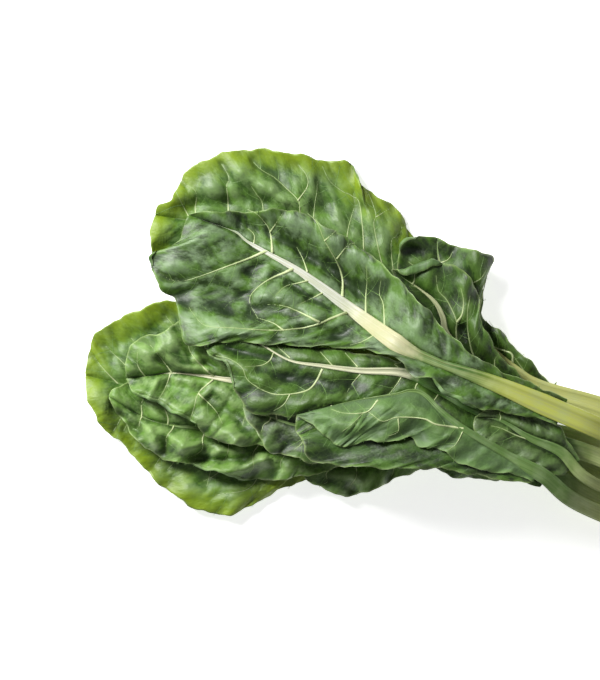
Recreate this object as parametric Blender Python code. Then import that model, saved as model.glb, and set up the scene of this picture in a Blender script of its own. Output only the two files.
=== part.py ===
"""A bunch of green Swiss chard lying on a flat surface, leaf tips to -X and cut stalk ends to +X.

Every leaf is two pieces: a thin green blade, and the pale stalk that runs on up the blade as its midrib.
The leaves are laid one on another from the bottom up, as a bunch settles: each leaf takes its own arched
shape and is lifted wherever what already lies there would touch it.
Lengths are in millimetres until a mesh is made. Plan points run from the blade's base to its tip.
"""

from dataclasses import dataclass

import bpy
import numpy as np

MM = 0.001

# The bunch
CUT_END = np.array([244.0, -137.0])  # plan centre of the cut stalk ends
NECK = np.array([164.0, -102.0])  # plan centre of the bundle where the stalks start to fan out
GATHERED = 0.95  # width of the bundle at its cut ends, as a share of that at the neck
PLAN_CENTRE = np.array([9.2, -14.6])  # plan centre of the finished bunch, moved to the origin

# A blade and its midrib
BLADE_THICK = 0.9
RIB_SLIT = 0.8  # between the midrib's side and the blade
RIB_TIP_WIDTH = 1.4
RIB_TIP_DEPTH = 1.4
RIB_DEPTH = 0.56  # of the stalk's width
RIB_ENDS_AT = 0.93  # of the blade's length
LEAN = 0.6  # how far each side vein leans to the tip
BOW = 0.08  # and how far it bows from a straight line
BLADE_ROWS = 18
HALF_COLUMNS = 5
TIP_CROWDING = 1.25  # rows are closer together towards the tip
STALK_ROWS = 10

# How leaves lie on each other
CLEAR = 0.6  # least gap between two leaves
CELL = 2.0  # of the height map of the pile
MAP_X = (-300.0, 300.0)
MAP_Y = (-200.0, 200.0)
DRAPE_REACH = 8.0  # a blade bridges hollows narrower than about twice this
STALK_REACH = 24.0  # a stalk is stiffer
STALK_BENDS_OVER = 60.0  # length in which a stalk comes down from a raised blade
DRAPE_SOFTNESS = 2.5
LIFT_ROUNDS = 16
SETTLE_ROUNDS = 6
FOLD_DROP = 3.0  # between the inner edges of a folded leaf's two halves
PRESSED = 1.6  # how strongly one leaf lying on another flattens its ruffles

DARK_GREEN = (0.035, 0.095, 0.025, 1.0)
GREEN = (0.07, 0.17, 0.045, 1.0)
YELLOW_GREEN = (0.16, 0.29, 0.03, 1.0)
PALE_STALK = (0.80, 0.84, 0.62, 1.0)
OLIVE_STALK = (0.50, 0.55, 0.20, 1.0)


@dataclass
class Leaf:
    """One leaf, with left and right as seen looking from its base to its tip."""

    name: str
    slot: float  # sideways place of its stalk in the bundle
    midrib: tuple  # plan points from beyond the neck to the tip
    blade: float  # length of the blade
    left: tuple  # plan points along the left margin
    right: tuple  # and along the right one
    stalk: float = 14.0  # width of the stalk
    rise: tuple = (0.0, 0.0, 0.0, 0.0)  # lift at the cut end, blade base, mid-blade and tip
    left_fall: tuple = (0.0, -6.0)  # height over the midrib half-way out and at the margin
    right_fall: tuple = (0.0, -6.0)
    ruffle: float = 6.0  # height of the margin's waves
    waves: float = 4.0  # how many along one margin
    phase: float = 0.0
    stagger: float = 0.0  # how far its cut end stands out of the bundle
    folded: bool = False  # its right half is turned over onto its left half
    colour: tuple = GREEN
    stalk_colour: tuple = PALE_STALK


LEAVES = (
    Leaf(
        "back_left",
        slot=2,
        midrib=((118, -86), (68, -78), (4, -74), (-76, -71), (-156, -58), (-212, -43), (-249, -34)),
        blade=300,
        left=(
            (20, -88), (-12, -100), (-44, -111), (-72, -118), (-100, -130), (-128, -145), (-152, -144),
            (-172, -134), (-196, -115), (-214, -94), (-236, -74), (-246, -54),
        ),
        right=(
            (36, -63), (4, -44), (-36, -20), (-84, 6), (-132, 24), (-174, 26), (-196, 23), (-222, 11),
            (-238, 2), (-246, -15),
        ),
        stalk=16,
        left_fall=(1, -12),
        right_fall=(1, -12),
        ruffle=7,
        waves=5,
        stagger=4,
        colour=YELLOW_GREEN,
    ),
    Leaf(
        "back_top",
        slot=23,
        midrib=((120, -55), (76, -30), (28, 2), (-28, 34), (-84, 62), (-140, 85), (-193, 95)),
        blade=295,
        left=((48, -31), (4, -26), (-44, -14), (-92, 6), (-140, 26), (-172, 42), (-190, 57), (-197, 74)),
        right=(
            (68, -10), (48, 26), (28, 57), (14, 78), (7, 93), (-6, 106), (-26, 118), (-34, 136),
            (-56, 139), (-84, 145), (-114, 148), (-140, 144), (-160, 135), (-172, 124), (-179, 107),
            (-190, 103),
        ),
        stalk=16,
        left_fall=(1, -10),
        right_fall=(2, -12),
        ruffle=8,
        waves=5,
        phase=1.1,
        stagger=-3,
        colour=YELLOW_GREEN,
    ),
    Leaf(
        "back_right",
        slot=43,
        midrib=((118, -44), (96, -31), (76, -14), (58, 6), (46, 30), (36, 57), (34, 77)),
        blade=165,
        left=((104, -46), (80, -34), (56, -18), (32, 2), (14, 22), (4, 42), (2, 60), (7, 74), (18, 78)),
        right=(
            (126, -41), (112, -26), (100, -15), (84, 2), (70, 14), (71, 30), (74, 46), (79, 62),
            (64, 66), (49, 70),
        ),
        stalk=12,
        left_fall=(2, -4),
        right_fall=(3, -6),
        ruffle=9,
        waves=3.5,
        phase=2.0,
        stagger=5,
    ),
    Leaf(
        "low_centre",
        slot=-18,
        midrib=((116, -99), (68, -90), (28, -91), (-12, -98), (-44, -106), (-76, -110)),
        blade=160,
        left=((60, -99), (30, -106), (4, -116), (-12, -123), (-34, -131), (-56, -126), (-70, -118)),
        right=((52, -78), (20, -74), (-12, -78), (-44, -86), (-68, -98)),
        stalk=12,
        left_fall=(3, -5),
        right_fall=(3, -4),
        ruffle=7,
        waves=4,
        phase=0.6,
        stagger=-6,
    ),
    Leaf(
        "low_right",
        slot=-39,
        midrib=((118, -114), (88, -102), (60, -97), (28, -94), (6, -89)),
        blade=120,
        left=((110, -122), (100, -118), (90, -116), (76, -118), (56, -116), (42, -114), (28, -105)),
        right=((106, -98), (84, -87), (60, -81), (40, -81), (20, -83)),
        stalk=12,
        left_fall=(2, -5),
        right_fall=(3, -3),
        ruffle=6,
        waves=4,
        phase=2.4,
        stagger=2,
    ),
    Leaf(
        "lower_left",
        slot=-8,
        midrib=((116, -90), (36, -76), (-36, -71), (-100, -74), (-156, -76), (-196, -70), (-230, -51)),
        blade=270,
        left=(
            (12, -90), (-28, -103), (-68, -114), (-100, -118), (-124, -117), (-144, -111), (-164, -106),
            (-182, -102), (-198, -94), (-210, -82), (-222, -66),
        ),
        right=((4, -54), (-44, -46), (-92, -42), (-140, -42), (-180, -40), (-208, -39), (-225, -44)),
        stalk=13,
        left_fall=(4, -6),
        right_fall=(3, -4),
        ruffle=7,
        waves=6,
        phase=0.3,
        stagger=-4,
    ),
    Leaf(
        "inner_left",
        slot=12,
        midrib=(
            (116, -77), (36, -62), (-36, -51), (-84, -43), (-130, -38), (-156, -34), (-180, -32),
            (-196, -34), (-216, -36),
        ),
        blade=255,
        left=(
            (12, -74), (-28, -86), (-76, -91), (-120, -90), (-144, -86), (-162, -72), (-180, -62),
            (-196, -54), (-210, -47),
        ),
        right=(
            (8, -42), (-36, -23), (-84, -8), (-124, 2), (-152, 9), (-174, 9), (-188, 0), (-209, -6),
            (-215, -20),
        ),
        stalk=14,
        left_fall=(4, -4),
        right_fall=(4, -5),
        ruffle=7,
        waves=6,
        phase=1.7,
        stagger=3,
    ),
    Leaf(
        "fore_right",
        slot=33,
        midrib=((118, -52), (84, -38), (58, -20), (42, -2), (38, 14), (28, 29), (-3, 51)),
        blade=160,
        left=((84, -50), (52, -36), (33, -15), (24, 2), (14, 22), (4, 38)),
        right=(
            (114, -45), (92, -26), (78, -8), (69, 12), (67, 28), (63, 41), (54, 50), (44, 55), (33, 59),
            (20, 56), (7, 52),
        ),
        stalk=12,
        left_fall=(2, 2),
        right_fall=(4, 0),
        ruffle=7,
        waves=3,
        phase=0.8,
        stagger=-2,
        stalk_colour=OLIVE_STALK,
    ),
    Leaf(
        "under_centre",
        slot=-29,
        midrib=((108, -97), (52, -76), (4, -70), (-36, -71), (-76, -74), (-122, -59)),
        blade=190,
        left=(
            (20, -86), (-12, -95), (-40, -103), (-66, -104), (-78, -99), (-90, -98), (-102, -93),
            (-110, -81), (-118, -70),
        ),
        right=((20, -58), (-20, -51), (-68, -47), (-100, -48), (-116, -52)),
        stalk=12,
        left_fall=(3, -3),
        right_fall=(2, -3),
        ruffle=6,
        waves=5,
        phase=2.9,
        stagger=6,
        colour=DARK_GREEN,
    ),
    Leaf(
        "centre",
        slot=2,
        midrib=(
            (124, -86), (92, -70), (64, -58), (36, -44), (8, -32), (-28, -30), (-60, -26), (-84, -22),
            (-106, -10), (-124, -3), (-156, -5),
        ),
        blade=250,
        left=(
            (72, -89), (52, -88), (30, -78), (12, -62), (-4, -54), (-44, -62), (-76, -66), (-100, -66),
            (-116, -63), (-124, -54), (-130, -39), (-135, -26), (-146, -19), (-151, -14),
        ),
        right=(
            (84, -58), (52, -42), (28, -28), (4, -22), (-28, -16), (-60, -11), (-84, -6), (-108, 0),
            (-128, 2), (-145, 0),
        ),
        stalk=14,
        rise=(0, 0, 0, 2),
        left_fall=(3, -4),
        right_fall=(-5, -14),
        ruffle=5,
        waves=4,
        phase=1.9,
        stagger=4,
    ),
    Leaf(
        "side_right",
        slot=-18,
        midrib=((132, -95), (108, -84), (84, -70), (63, -67)),
        blade=90,
        left=((132, -113), (112, -110), (94, -104), (76, -96), (66, -86), (62, -75)),
        right=((128, -82), (110, -73), (92, -64), (74, -62)),
        stalk=9,
        left_fall=(3, -4),
        right_fall=(-3, -10),
        ruffle=4,
        waves=3,
        phase=1.0,
        stagger=-5,
        colour=DARK_GREEN,
    ),
    Leaf(
        "folded",
        slot=-38,
        midrib=(
            (118, -114), (84, -94), (54, -76), (36, -62), (23, -49), (12, -46), (0, -49), (-36, -55),
            (-79, -66),
        ),
        blade=215,
        left=(
            (100, -119), (68, -114), (36, -108), (4, -108), (-36, -106), (-66, -102), (-73, -90),
            (-79, -78),
        ),
        right=(
            (100, -114), (76, -110), (54, -105), (38, -94), (20, -90), (12, -83), (0, -86), (-20, -86),
            (-40, -90), (-54, -85), (-64, -74),
        ),
        stalk=12,
        rise=(0, 0, 3, 2),
        left_fall=(1, -2),
        right_fall=(5, 3),
        ruffle=4,
        waves=4,
        phase=0.9,
        stagger=1,
        folded=True,
    ),
    Leaf(
        "main",
        slot=23,
        midrib=(
            (118, -57), (88, -44), (60, -33), (32, -23), (4, -10), (-34, 18), (-76, 49), (-116, 72),
            (-130, 82), (-166, 95),
        ),
        blade=340,
        left=(
            (120, -70), (92, -64), (62, -59), (46, -52), (34, -44), (28, -36), (18, -36), (10, -30),
            (0, -20), (-20, -14), (-52, -11), (-84, -10), (-116, -8), (-140, -7), (-156, -11),
            (-169, -6), (-173, 9), (-175, 26), (-186, 32), (-192, 46), (-198, 61), (-182, 68),
            (-172, 78),
        ),
        right=(
            (108, -40), (84, -30), (60, -16), (40, 2), (24, 20), (12, 32), (-6, 51), (-34, 73),
            (-63, 90), (-78, 98), (-100, 99), (-124, 97), (-148, 98),
        ),
        stalk=17,
        rise=(0, 0, 2, 2),
        left_fall=(2, -10),
        right_fall=(-4, -2),
        ruffle=7,
        waves=5,
        phase=0.2,
        stagger=0,
        stalk_colour=OLIVE_STALK,
    ),
)


def spline(points, at):
    """A smooth curve through the points, read at positions from 0 to len(points) - 1."""
    points = np.asarray(points, float)
    first, last = 2 * points[0] - points[1], 2 * points[-1] - points[-2]
    padded = np.concatenate([[first], points, [last]])
    cell = np.clip(np.floor(at).astype(int), 0, len(points) - 2)
    u = (at - cell).reshape(-1, *[1] * (points.ndim - 1))
    a, b, c, d = (padded[cell + k] for k in range(4))
    return 0.5 * (2 * b + (c - a) * u + (2 * a - 5 * b + 4 * c - d) * u**2 + (3 * b - a - 3 * c + d) * u**3)


def bundle_axes():
    along = (CUT_END - NECK) / np.linalg.norm(CUT_END - NECK)
    return along, np.array([-along[1], along[0]])


class RibPath:
    """The plan curve of a stalk and its midrib, read by distance from the cut end."""

    def __init__(self, leaf):
        along, across = bundle_axes()
        start = CUT_END + across * leaf.slot * GATHERED + along * leaf.stagger
        neck = NECK + across * leaf.slot
        knots = np.array([start, neck, *leaf.midrib], float)
        self.points = spline(knots, np.linspace(0, len(knots) - 1, 400))
        steps = np.linalg.norm(np.diff(self.points, axis=0), axis=1)
        self.distance = np.concatenate([[0], np.cumsum(steps)])
        self.length = self.distance[-1]
        self.stalk_length = self.length - leaf.blade

    def at(self, distance):
        return np.stack([np.interp(distance, self.distance, self.points[:, k]) for k in (0, 1)], axis=-1)

    def heading(self, distance):
        ahead = self.at(np.minimum(distance + 4, self.length)) - self.at(np.maximum(distance - 4, 0))
        return ahead / np.linalg.norm(ahead, axis=-1, keepdims=True)


def rib_taper(share):
    """Width of a midrib as a share of the stalk's, from the blade's base to its tip."""
    return np.cos(np.pi / 2 * np.clip(share, 0, 1)) ** 2


def rib_width(leaf, share):
    return RIB_TIP_WIDTH + (leaf.stalk - RIB_TIP_WIDTH) * rib_taper(share)


def rib_depth(leaf, share):
    return RIB_TIP_DEPTH + (leaf.stalk * RIB_DEPTH - RIB_TIP_DEPTH) * rib_taper(share)


class Pile:
    """A height map of the top of everything laid so far."""

    def __init__(self):
        columns = int((MAP_X[1] - MAP_X[0]) / CELL)
        rows = int((MAP_Y[1] - MAP_Y[0]) / CELL)
        self.top = np.full((columns, rows), -CLEAR)

    def cells(self, points):
        i = np.clip(((points[..., 0] - MAP_X[0]) / CELL).astype(int), 1, self.top.shape[0] - 2)
        j = np.clip(((points[..., 1] - MAP_Y[0]) / CELL).astype(int), 1, self.top.shape[1] - 2)
        return i, j

    def add(self, points):
        np.maximum.at(self.top, self.cells(points), points[..., 2])

    def add_sheet(self, grid):
        triangles = grid.reshape(-1, 3)[grid_triangles(*grid.shape[:2])]
        samples, _ = filled(triangles, CELL / 2)
        samples[..., 2] += half_thickness(triangles)[:, None]
        self.add(samples)

    def topped_by(self, grid):
        """A copy with one more sheet on it."""
        more = Pile()
        more.top = self.top.copy()
        more.add_sheet(grid)
        return more

    def highest_near(self, reach):
        """The map with each cell raised to the highest one within reach of it."""
        return spread(self.top, reach, np.maximum)

    def draped(self, reach):
        """A smooth map that is nowhere lower than the pile."""
        return blurred(self.highest_near(reach), reach)


def shifted(field, step, axis):
    moved = np.roll(field, step, axis)
    edge = [slice(None)] * 2
    edge[axis] = slice(0, step) if step > 0 else slice(step, None)
    moved[tuple(edge)] = -CLEAR
    return moved


def spread(field, reach, combine):
    for axis in (0, 1):
        lowest = field
        for step in range(1, int(round(reach / CELL)) + 1):
            lowest = combine(lowest, combine(shifted(field, step, axis), shifted(field, -step, axis)))
        field = lowest
    return field


def blurred(field, reach):
    steps = int(round(reach / CELL))
    weights = np.hanning(2 * steps + 3)[1:-1]
    weights /= weights.sum()
    for axis in (0, 1):
        parts = [w * (np.roll(field, k - steps, axis) if k != steps else field) for k, w in enumerate(weights)]
        field = np.sum(parts, axis=0)
    return field


def soft_max(a, b, softness):
    return 0.5 * (a + b + np.sqrt((a - b) ** 2 + softness**2))


def plan_cover(leaf, path):
    """Map of the cells that a leaf covers, as ones and noughts."""
    own = Pile()
    shares = row_shares()
    for side, margin in ((-1, leaf.left), (1, leaf.right)):
        plan = half_plan(leaf, path, side, margin, shares)
        flat = np.concatenate([plan, np.ones((*plan.shape[:2], 1))], axis=-1).reshape(-1, 3)
        samples, _ = filled(flat[grid_triangles(*plan.shape[:2])], CELL)
        own.add(samples)
    return (own.top > 0).astype(float)


def filled(triangles, spacing):
    """Points spread over triangles no further apart than spacing, with their corner weights."""
    longest = np.linalg.norm(triangles[:, :, :2] - np.roll(triangles[:, :, :2], 1, 1), axis=-1).max()
    count = max(2, int(np.ceil(longest / spacing)))
    weights = np.array(
        [(i, j, count - i - j) for i in range(count + 1) for j in range(count + 1 - i)], float
    ) / count
    return np.einsum("kc,tcd->tkd", weights, triangles), weights


def stiffened(values, length, step):
    """A smooth line that is nowhere lower than the values."""
    reach = int(round(length / step))
    padded = np.pad(values, 2 * reach, mode="edge")
    widest = np.max([np.roll(padded, k) for k in range(-reach, reach + 1)], axis=0)
    weights = np.hanning(2 * reach + 3)[1:-1]
    return np.convolve(widest, weights / weights.sum(), mode="same")[2 * reach : -2 * reach]


def rib_heights(leaf, path, pile, distance):
    """Height of the rib's upper corners along the stalk and midrib: stiff, and clear of all below."""
    share = (distance - path.stalk_length) / leaf.blade
    near = pile.highest_near(leaf.stalk / 2 + CELL / 2)
    below = near[pile.cells(path.at(distance))]
    need = below + CLEAR + rib_depth(leaf, share)
    smooth = stiffened(need, STALK_REACH, distance[1])
    base = path.stalk_length / path.length
    lift = np.interp(distance / path.length, (0, base, (1 + base) / 2, 1), leaf.rise)
    return smooth + lift


def row_shares():
    u = np.arange(BLADE_ROWS) / BLADE_ROWS
    return 1 - (1 - u) ** TIP_CROWDING


def evened(values, first, last):
    """The values with their steps smoothed, between fixed ends."""
    values = np.concatenate([[first], values[1:], [last]])
    for _ in range(6):
        values[1:-1] = (values[:-2] + 2 * values[1:-1] + values[2:]) / 4
    return values[:-1]


def half_plan(leaf, path, side, margin, shares):
    """Plan points of half a blade: one row for each share along it, from the midrib out."""
    if leaf.folded:
        side = -1
    distance = path.stalk_length + shares * leaf.blade
    centre, heading = path.at(distance), path.heading(distance)
    out = side * np.stack([heading[:, 1], -heading[:, 0]], axis=-1)
    inner = centre + out * (rib_width(leaf, shares) / 2 + RIB_SLIT)[:, None]
    knots = np.array([inner[0] + 2 * out[0], *margin, path.at(path.length)])
    line = spline(knots, np.linspace(0, len(knots) - 1, 300))
    along = np.concatenate([[0], np.cumsum(np.linalg.norm(np.diff(line, axis=0), axis=1))])
    away = line[None] - inner[:, None]
    forward, sideways = (away * heading[:, None]).sum(-1), (away * out[:, None]).sum(-1)
    stray = np.abs(along / along[-1] - shares[:, None]) * along[-1]
    cost = np.abs(forward - LEAN * sideways) + 0.35 * stray + 3 * np.maximum(-sideways, 0)
    reached = evened(along[np.maximum.accumulate(cost.argmin(axis=1))], 0, along[-1])
    outer = np.stack([np.interp(reached, along, line[:, k]) for k in (0, 1)], axis=-1)
    width = np.linalg.norm(outer - inner, axis=1)
    t = np.linspace(0, 1, HALF_COLUMNS)[:, None]
    bow = -4 * BOW * (width[:, None] * heading)[:, None] * t * (1 - t)
    return inner[:, None] + (outer - inner)[:, None] * t + bow


def half_heights(leaf, side, fall, plan, shares, load):
    """Height over the midrib that half a blade would take, less where other leaves press on it."""
    t = np.linspace(0, 1, HALF_COLUMNS)
    width = np.linalg.norm(plan[:, -1] - plan[:, 0], axis=1)
    middle, margin = fall
    arch = (4 * middle - margin) * t + (2 * margin - 4 * middle) * t**2
    wave = 0.5 + 0.5 * np.sin(2 * np.pi * leaf.waves * shares + leaf.phase * (1 + side))
    ruffle = leaf.ruffle * wave[:, None] * t**2
    return (width / width.max())[:, None] * (arch + ruffle / (1 + PRESSED * load))


def half_thickness(triangles):
    """Height from a sheet's middle surface to its skin, which grows where it slopes."""
    normal = np.cross(triangles[:, 1] - triangles[:, 0], triangles[:, 2] - triangles[:, 0])
    upright = np.abs(normal[:, 2]) / np.maximum(np.linalg.norm(normal, axis=1), 1e-9)
    return 0.5 * BLADE_THICK / np.maximum(upright, 0.3)


def grid_triangles(rows, columns, start=0):
    """Triangles of a grid of points numbered row by row."""
    i, j = np.meshgrid(np.arange(rows - 1), np.arange(columns - 1), indexing="ij")
    a = (start + i * columns + j).ravel()
    b, c, d = a + 1, a + columns + 1, a + columns
    return np.concatenate([np.stack([a, b, c], 1), np.stack([a, c, d], 1)])


def lift_clear(points, triangles, fixed, pile):
    """Raises the points of a sheet until every triangle of it clears the pile."""
    near = spread(pile.top, CELL, np.maximum)
    for _ in range(LIFT_ROUNDS):
        samples, weights = filled(points[triangles], CELL)
        least = CLEAR + half_thickness(points[triangles])[:, None]
        short = near[pile.cells(samples)] + least - samples[..., 2]
        if short.max() <= 0:
            break
        free = np.where(fixed[triangles], 0.0, 1.0)
        share = weights[None] * free[:, None]
        total = np.maximum((share**2).sum(-1, keepdims=True), 0.15)
        push = np.maximum(short, 0)[..., None] * share / total
        lift = np.zeros(len(points))
        for corner in range(3):
            np.maximum.at(lift, triangles[:, corner], push[..., corner].max(1))
        points[:, 2] += lift
    return max(float(short.max()), 0.0)


class Sheet:
    """The middle surface of one blade, and the line of its rib, both laid on the pile."""

    def __init__(self, leaf, path, pile, load):
        self.leaf, self.path, self.load = leaf, path, load
        self.fine = np.arange(0, path.length, 5.0)
        self.heights = rib_heights(leaf, path, pile, self.fine)
        blade = path.stalk_length + row_shares() * leaf.blade
        for last in [False] * SETTLE_ROUNDS + [True]:
            rib = self.rib_height(blade)
            if leaf.folded:
                self.left, lift = self.half(-1, leaf.left, leaf.left_fall, rib - FOLD_DROP, pile, last)
                self.right, _ = self.half(1, leaf.right, leaf.right_fall, rib, pile.topped_by(self.left), False)
            else:
                self.left, left_lift = self.half(-1, leaf.left, leaf.left_fall, rib, pile, last)
                self.right, right_lift = self.half(1, leaf.right, leaf.right_fall, rib, pile, last)
                lift = np.maximum(left_lift, right_lift)
            if lift.max() < 0.05 and not last:
                continue
            along = np.interp(self.fine, [blade[0] - STALK_BENDS_OVER, *blade], [0, *lift])
            self.heights = self.heights + stiffened(along, STALK_REACH / 2, self.fine[1])
        self.add_rib(pile)
        for grid in (self.left, self.right):
            pile.add_sheet(grid)

    def rib_height(self, distance):
        return np.interp(distance, self.fine, self.heights)

    def half(self, side, margin, fall, rib, pile, last):
        """One half, and how much more its inner edge would have to rise at each row."""
        shares = row_shares()
        plan = half_plan(self.leaf, self.path, side, margin, shares)
        cells = pile.cells(plan)
        z = rib[:, None] + half_heights(self.leaf, side, fall, plan, shares, self.load[cells])
        floor = pile.draped(DRAPE_REACH)[cells] + CLEAR + BLADE_THICK / 2
        z[:, 1:] = soft_max(z[:, 1:], floor[:, 1:], DRAPE_SOFTNESS)
        points = np.concatenate([plan, z[..., None]], axis=-1).reshape(-1, 3)
        fixed = np.zeros(z.shape, bool)
        fixed[:, 0] = last
        short = lift_clear(points, grid_triangles(*z.shape), fixed.ravel(), pile)
        if last and short > CLEAR / 2:
            print(self.leaf.name, "left" if side < 0 else "right", "half is short of clear by", round(short, 2))
        grid = points.reshape(*z.shape, 3)
        return grid, grid[:, 0, 2] - rib

    def add_rib(self, pile):
        distance = np.arange(0, self.path.length, 1.0)
        share = (distance - self.path.stalk_length) / self.leaf.blade
        half = rib_width(self.leaf, share) / 2
        centre, heading = self.path.at(distance), self.path.heading(distance)
        out = np.stack([heading[:, 1], -heading[:, 0]], axis=-1)
        top = self.rib_height(distance)[:, None] + 0.5
        for across in np.linspace(-1, 1, 17):
            plan = centre + out * (across * half)[:, None]
            pile.add(np.concatenate([plan, top], axis=-1))


def rib_section(width, depth):
    """Cross-section of a stalk: grooved on top, keeled below, with a narrow flat under the keel."""
    a, b = width / 2, depth
    under = [(-0.86 * a, -0.5 * b), (-0.4 * a, -b), (0.4 * a, -b), (0.86 * a, -0.5 * b)]
    return np.array([(a, 0), (0, -0.1 * b), (-a, 0), *under])


def closed_tube(rings):
    """Faces of a tube through rings of points, with both ends closed."""
    rows, sides = rings.shape[:2]
    faces = []
    for i in range(rows - 1):
        for j in range(sides):
            k = (j + 1) % sides
            faces.append((i * sides + j, i * sides + k, (i + 1) * sides + k, (i + 1) * sides + j))
    faces.append(tuple(range(sides))[::-1])
    faces.append(tuple((rows - 1) * sides + j for j in range(sides)))
    return faces


def make_object(name, points, faces, material):
    mesh = bpy.data.meshes.new(name)
    mesh.from_pydata((points * MM).tolist(), [], [tuple(int(v) for v in face) for face in faces])
    mesh.materials.append(material)
    mesh.validate()
    mesh.shade_smooth()
    made = bpy.data.objects.new(name, mesh)
    bpy.context.scene.collection.objects.link(made)
    return made


def outward(obj):
    bpy.context.view_layer.objects.active = obj
    obj.select_set(True)
    bpy.ops.object.mode_set(mode="EDIT")
    bpy.ops.mesh.select_all(action="SELECT")
    bpy.ops.mesh.normals_make_consistent(inside=False)
    bpy.ops.object.mode_set(mode="OBJECT")
    obj.select_set(False)


def placed(points):
    return points - (*PLAN_CENTRE, 0)


def make_stalk(sheet):
    leaf, path = sheet.leaf, sheet.path
    material = make_material(f"{leaf.name}_stalk", leaf.stalk_colour, 0.35)
    stalk = np.linspace(0, path.stalk_length, STALK_ROWS, endpoint=False)
    shares = row_shares()
    joined = shares[shares >= RIB_ENDS_AT][0]
    blade = path.stalk_length + shares[shares < RIB_ENDS_AT] * leaf.blade
    end = path.stalk_length + joined * leaf.blade - 2 * RIB_SLIT
    distance = np.concatenate([stalk, blade, [end]])
    share = (distance - path.stalk_length) / leaf.blade
    centre, heading = path.at(distance), path.heading(distance)
    out = np.stack([heading[:, 1], -heading[:, 0]], axis=-1)
    height = sheet.rib_height(distance)
    rings = []
    for k, s in enumerate(share):
        section = rib_section(rib_width(leaf, s), rib_depth(leaf, s))
        plan = centre[k] + out[k] * section[:, :1]
        rings.append(np.concatenate([plan, height[k] + section[:, 1:]], axis=-1))
    rings = np.array(rings)
    made = make_object(f"{leaf.name}_stalk", placed(rings.reshape(-1, 3)), closed_tube(rings), material)
    outward(made)
    return made


def make_blade(sheet):
    """Both halves as one sheet, joined past the end of the midrib, and then given its thickness."""
    material = make_material(f"{sheet.leaf.name}_blade", sheet.leaf.colour, 0.45)
    rows, columns = sheet.left.shape[:2]
    points = np.concatenate([sheet.left.reshape(-1, 3), sheet.right.reshape(-1, 3)])
    right = rows * columns
    faces = [*grid_triangles(rows, columns), *grid_triangles(rows, columns, right)[:, ::-1]]
    shares = row_shares()
    for i in range(rows - 1):
        if shares[i] >= RIB_ENDS_AT:
            a, b = i * columns, (i + 1) * columns
            faces += [(a, b, right + b), (a, right + b, right + a)]
    last_left = [(rows - 1) * columns + j for j in range(columns)]
    last_right = [right + j for j in last_left]
    heights = points[[last_left[0], last_right[0]], 2]
    left_tip, right_tip = len(points), len(points) + int(sheet.leaf.folded)
    tips = [(*sheet.path.at(sheet.path.length), z) for z in (heights if sheet.leaf.folded else [heights.mean()])]
    points = np.concatenate([points, tips])
    faces += [(b, a, left_tip) for a, b in zip(last_left[:-1], last_left[1:])]
    faces += [(a, b, right_tip) for a, b in zip(last_right[:-1], last_right[1:])]
    faces += [(last_left[0], last_right[0], left_tip)]
    if sheet.leaf.folded:
        faces += [(last_right[0], right_tip, left_tip)]
    made = make_object(f"{sheet.leaf.name}_blade", placed(points), faces, material)
    outward(made)
    thick = made.modifiers.new("thickness", "SOLIDIFY")
    thick.thickness = BLADE_THICK * MM
    thick.offset = 0
    return made


def make_material(name, colour, roughness):
    material = bpy.data.materials.new(name)
    material.use_nodes = True
    shader = material.node_tree.nodes["Principled BSDF"]
    shader.inputs["Base Color"].default_value = colour
    shader.inputs["Roughness"].default_value = roughness
    return material


def main():
    for obj in list(bpy.data.objects):
        bpy.data.objects.remove(obj)
    pile = Pile()
    paths = [RibPath(leaf) for leaf in LEAVES]
    covers = [plan_cover(leaf, path) for leaf, path in zip(LEAVES, paths)]
    for k, (leaf, path) in enumerate(zip(LEAVES, paths)):
        load = blurred(np.sum(covers[k + 1 :], axis=0) + np.zeros_like(pile.top), DRAPE_REACH)
        sheet = Sheet(leaf, path, pile, load)
        make_blade(sheet)
        make_stalk(sheet)
    print("height of the bunch in millimetres:", round(float(pile.top.max()), 1))


if __name__ == "__main__":
    main()
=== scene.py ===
# %% [markdown]
# # A bunch of green chard
# Thirteen leaves lie one on another on a table, tips to the left and stalks gathered at the right.
# The imported model is loaded first and stays as the fixed frame. Every piece below stands in for one of
# its nodes.

# %% The fixed frame
from dataclasses import dataclass

import bpy
import numpy as np
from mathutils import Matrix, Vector, kdtree


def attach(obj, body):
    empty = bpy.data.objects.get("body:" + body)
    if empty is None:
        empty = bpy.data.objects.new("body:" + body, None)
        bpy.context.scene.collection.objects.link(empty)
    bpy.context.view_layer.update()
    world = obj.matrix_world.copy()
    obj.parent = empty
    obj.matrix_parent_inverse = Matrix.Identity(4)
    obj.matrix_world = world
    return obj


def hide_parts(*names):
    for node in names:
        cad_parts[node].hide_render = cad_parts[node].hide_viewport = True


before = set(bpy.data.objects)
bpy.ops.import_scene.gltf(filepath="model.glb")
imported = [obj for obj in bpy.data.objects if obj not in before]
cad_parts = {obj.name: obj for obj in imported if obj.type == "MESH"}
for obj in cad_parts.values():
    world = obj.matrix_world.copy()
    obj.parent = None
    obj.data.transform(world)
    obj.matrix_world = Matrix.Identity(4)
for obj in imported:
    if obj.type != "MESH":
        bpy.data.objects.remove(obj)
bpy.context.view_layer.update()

MM = 0.001

# %% [markdown]
# ## What is known of each leaf
# A leaf is its midrib, seen from above, and two margins. They are listed from the blade's base to its
# tip, in millimetres, because a leaf that is measured this way keeps its own lopsided outline. The falls
# and ruffles say how the blade would hang if nothing lay under it.

# %% The leaves, from the bottom of the pile up
CUT_END = np.array([244.0, -137.0])  # plan centre of the cut stalk ends
NECK = np.array([164.0, -102.0])  # where the stalks start to fan out
GATHERED = 0.95  # width of the bundle at its cut ends, as a share of that at the neck
PLAN_CENTRE = np.array([9.2, -14.6])


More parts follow.
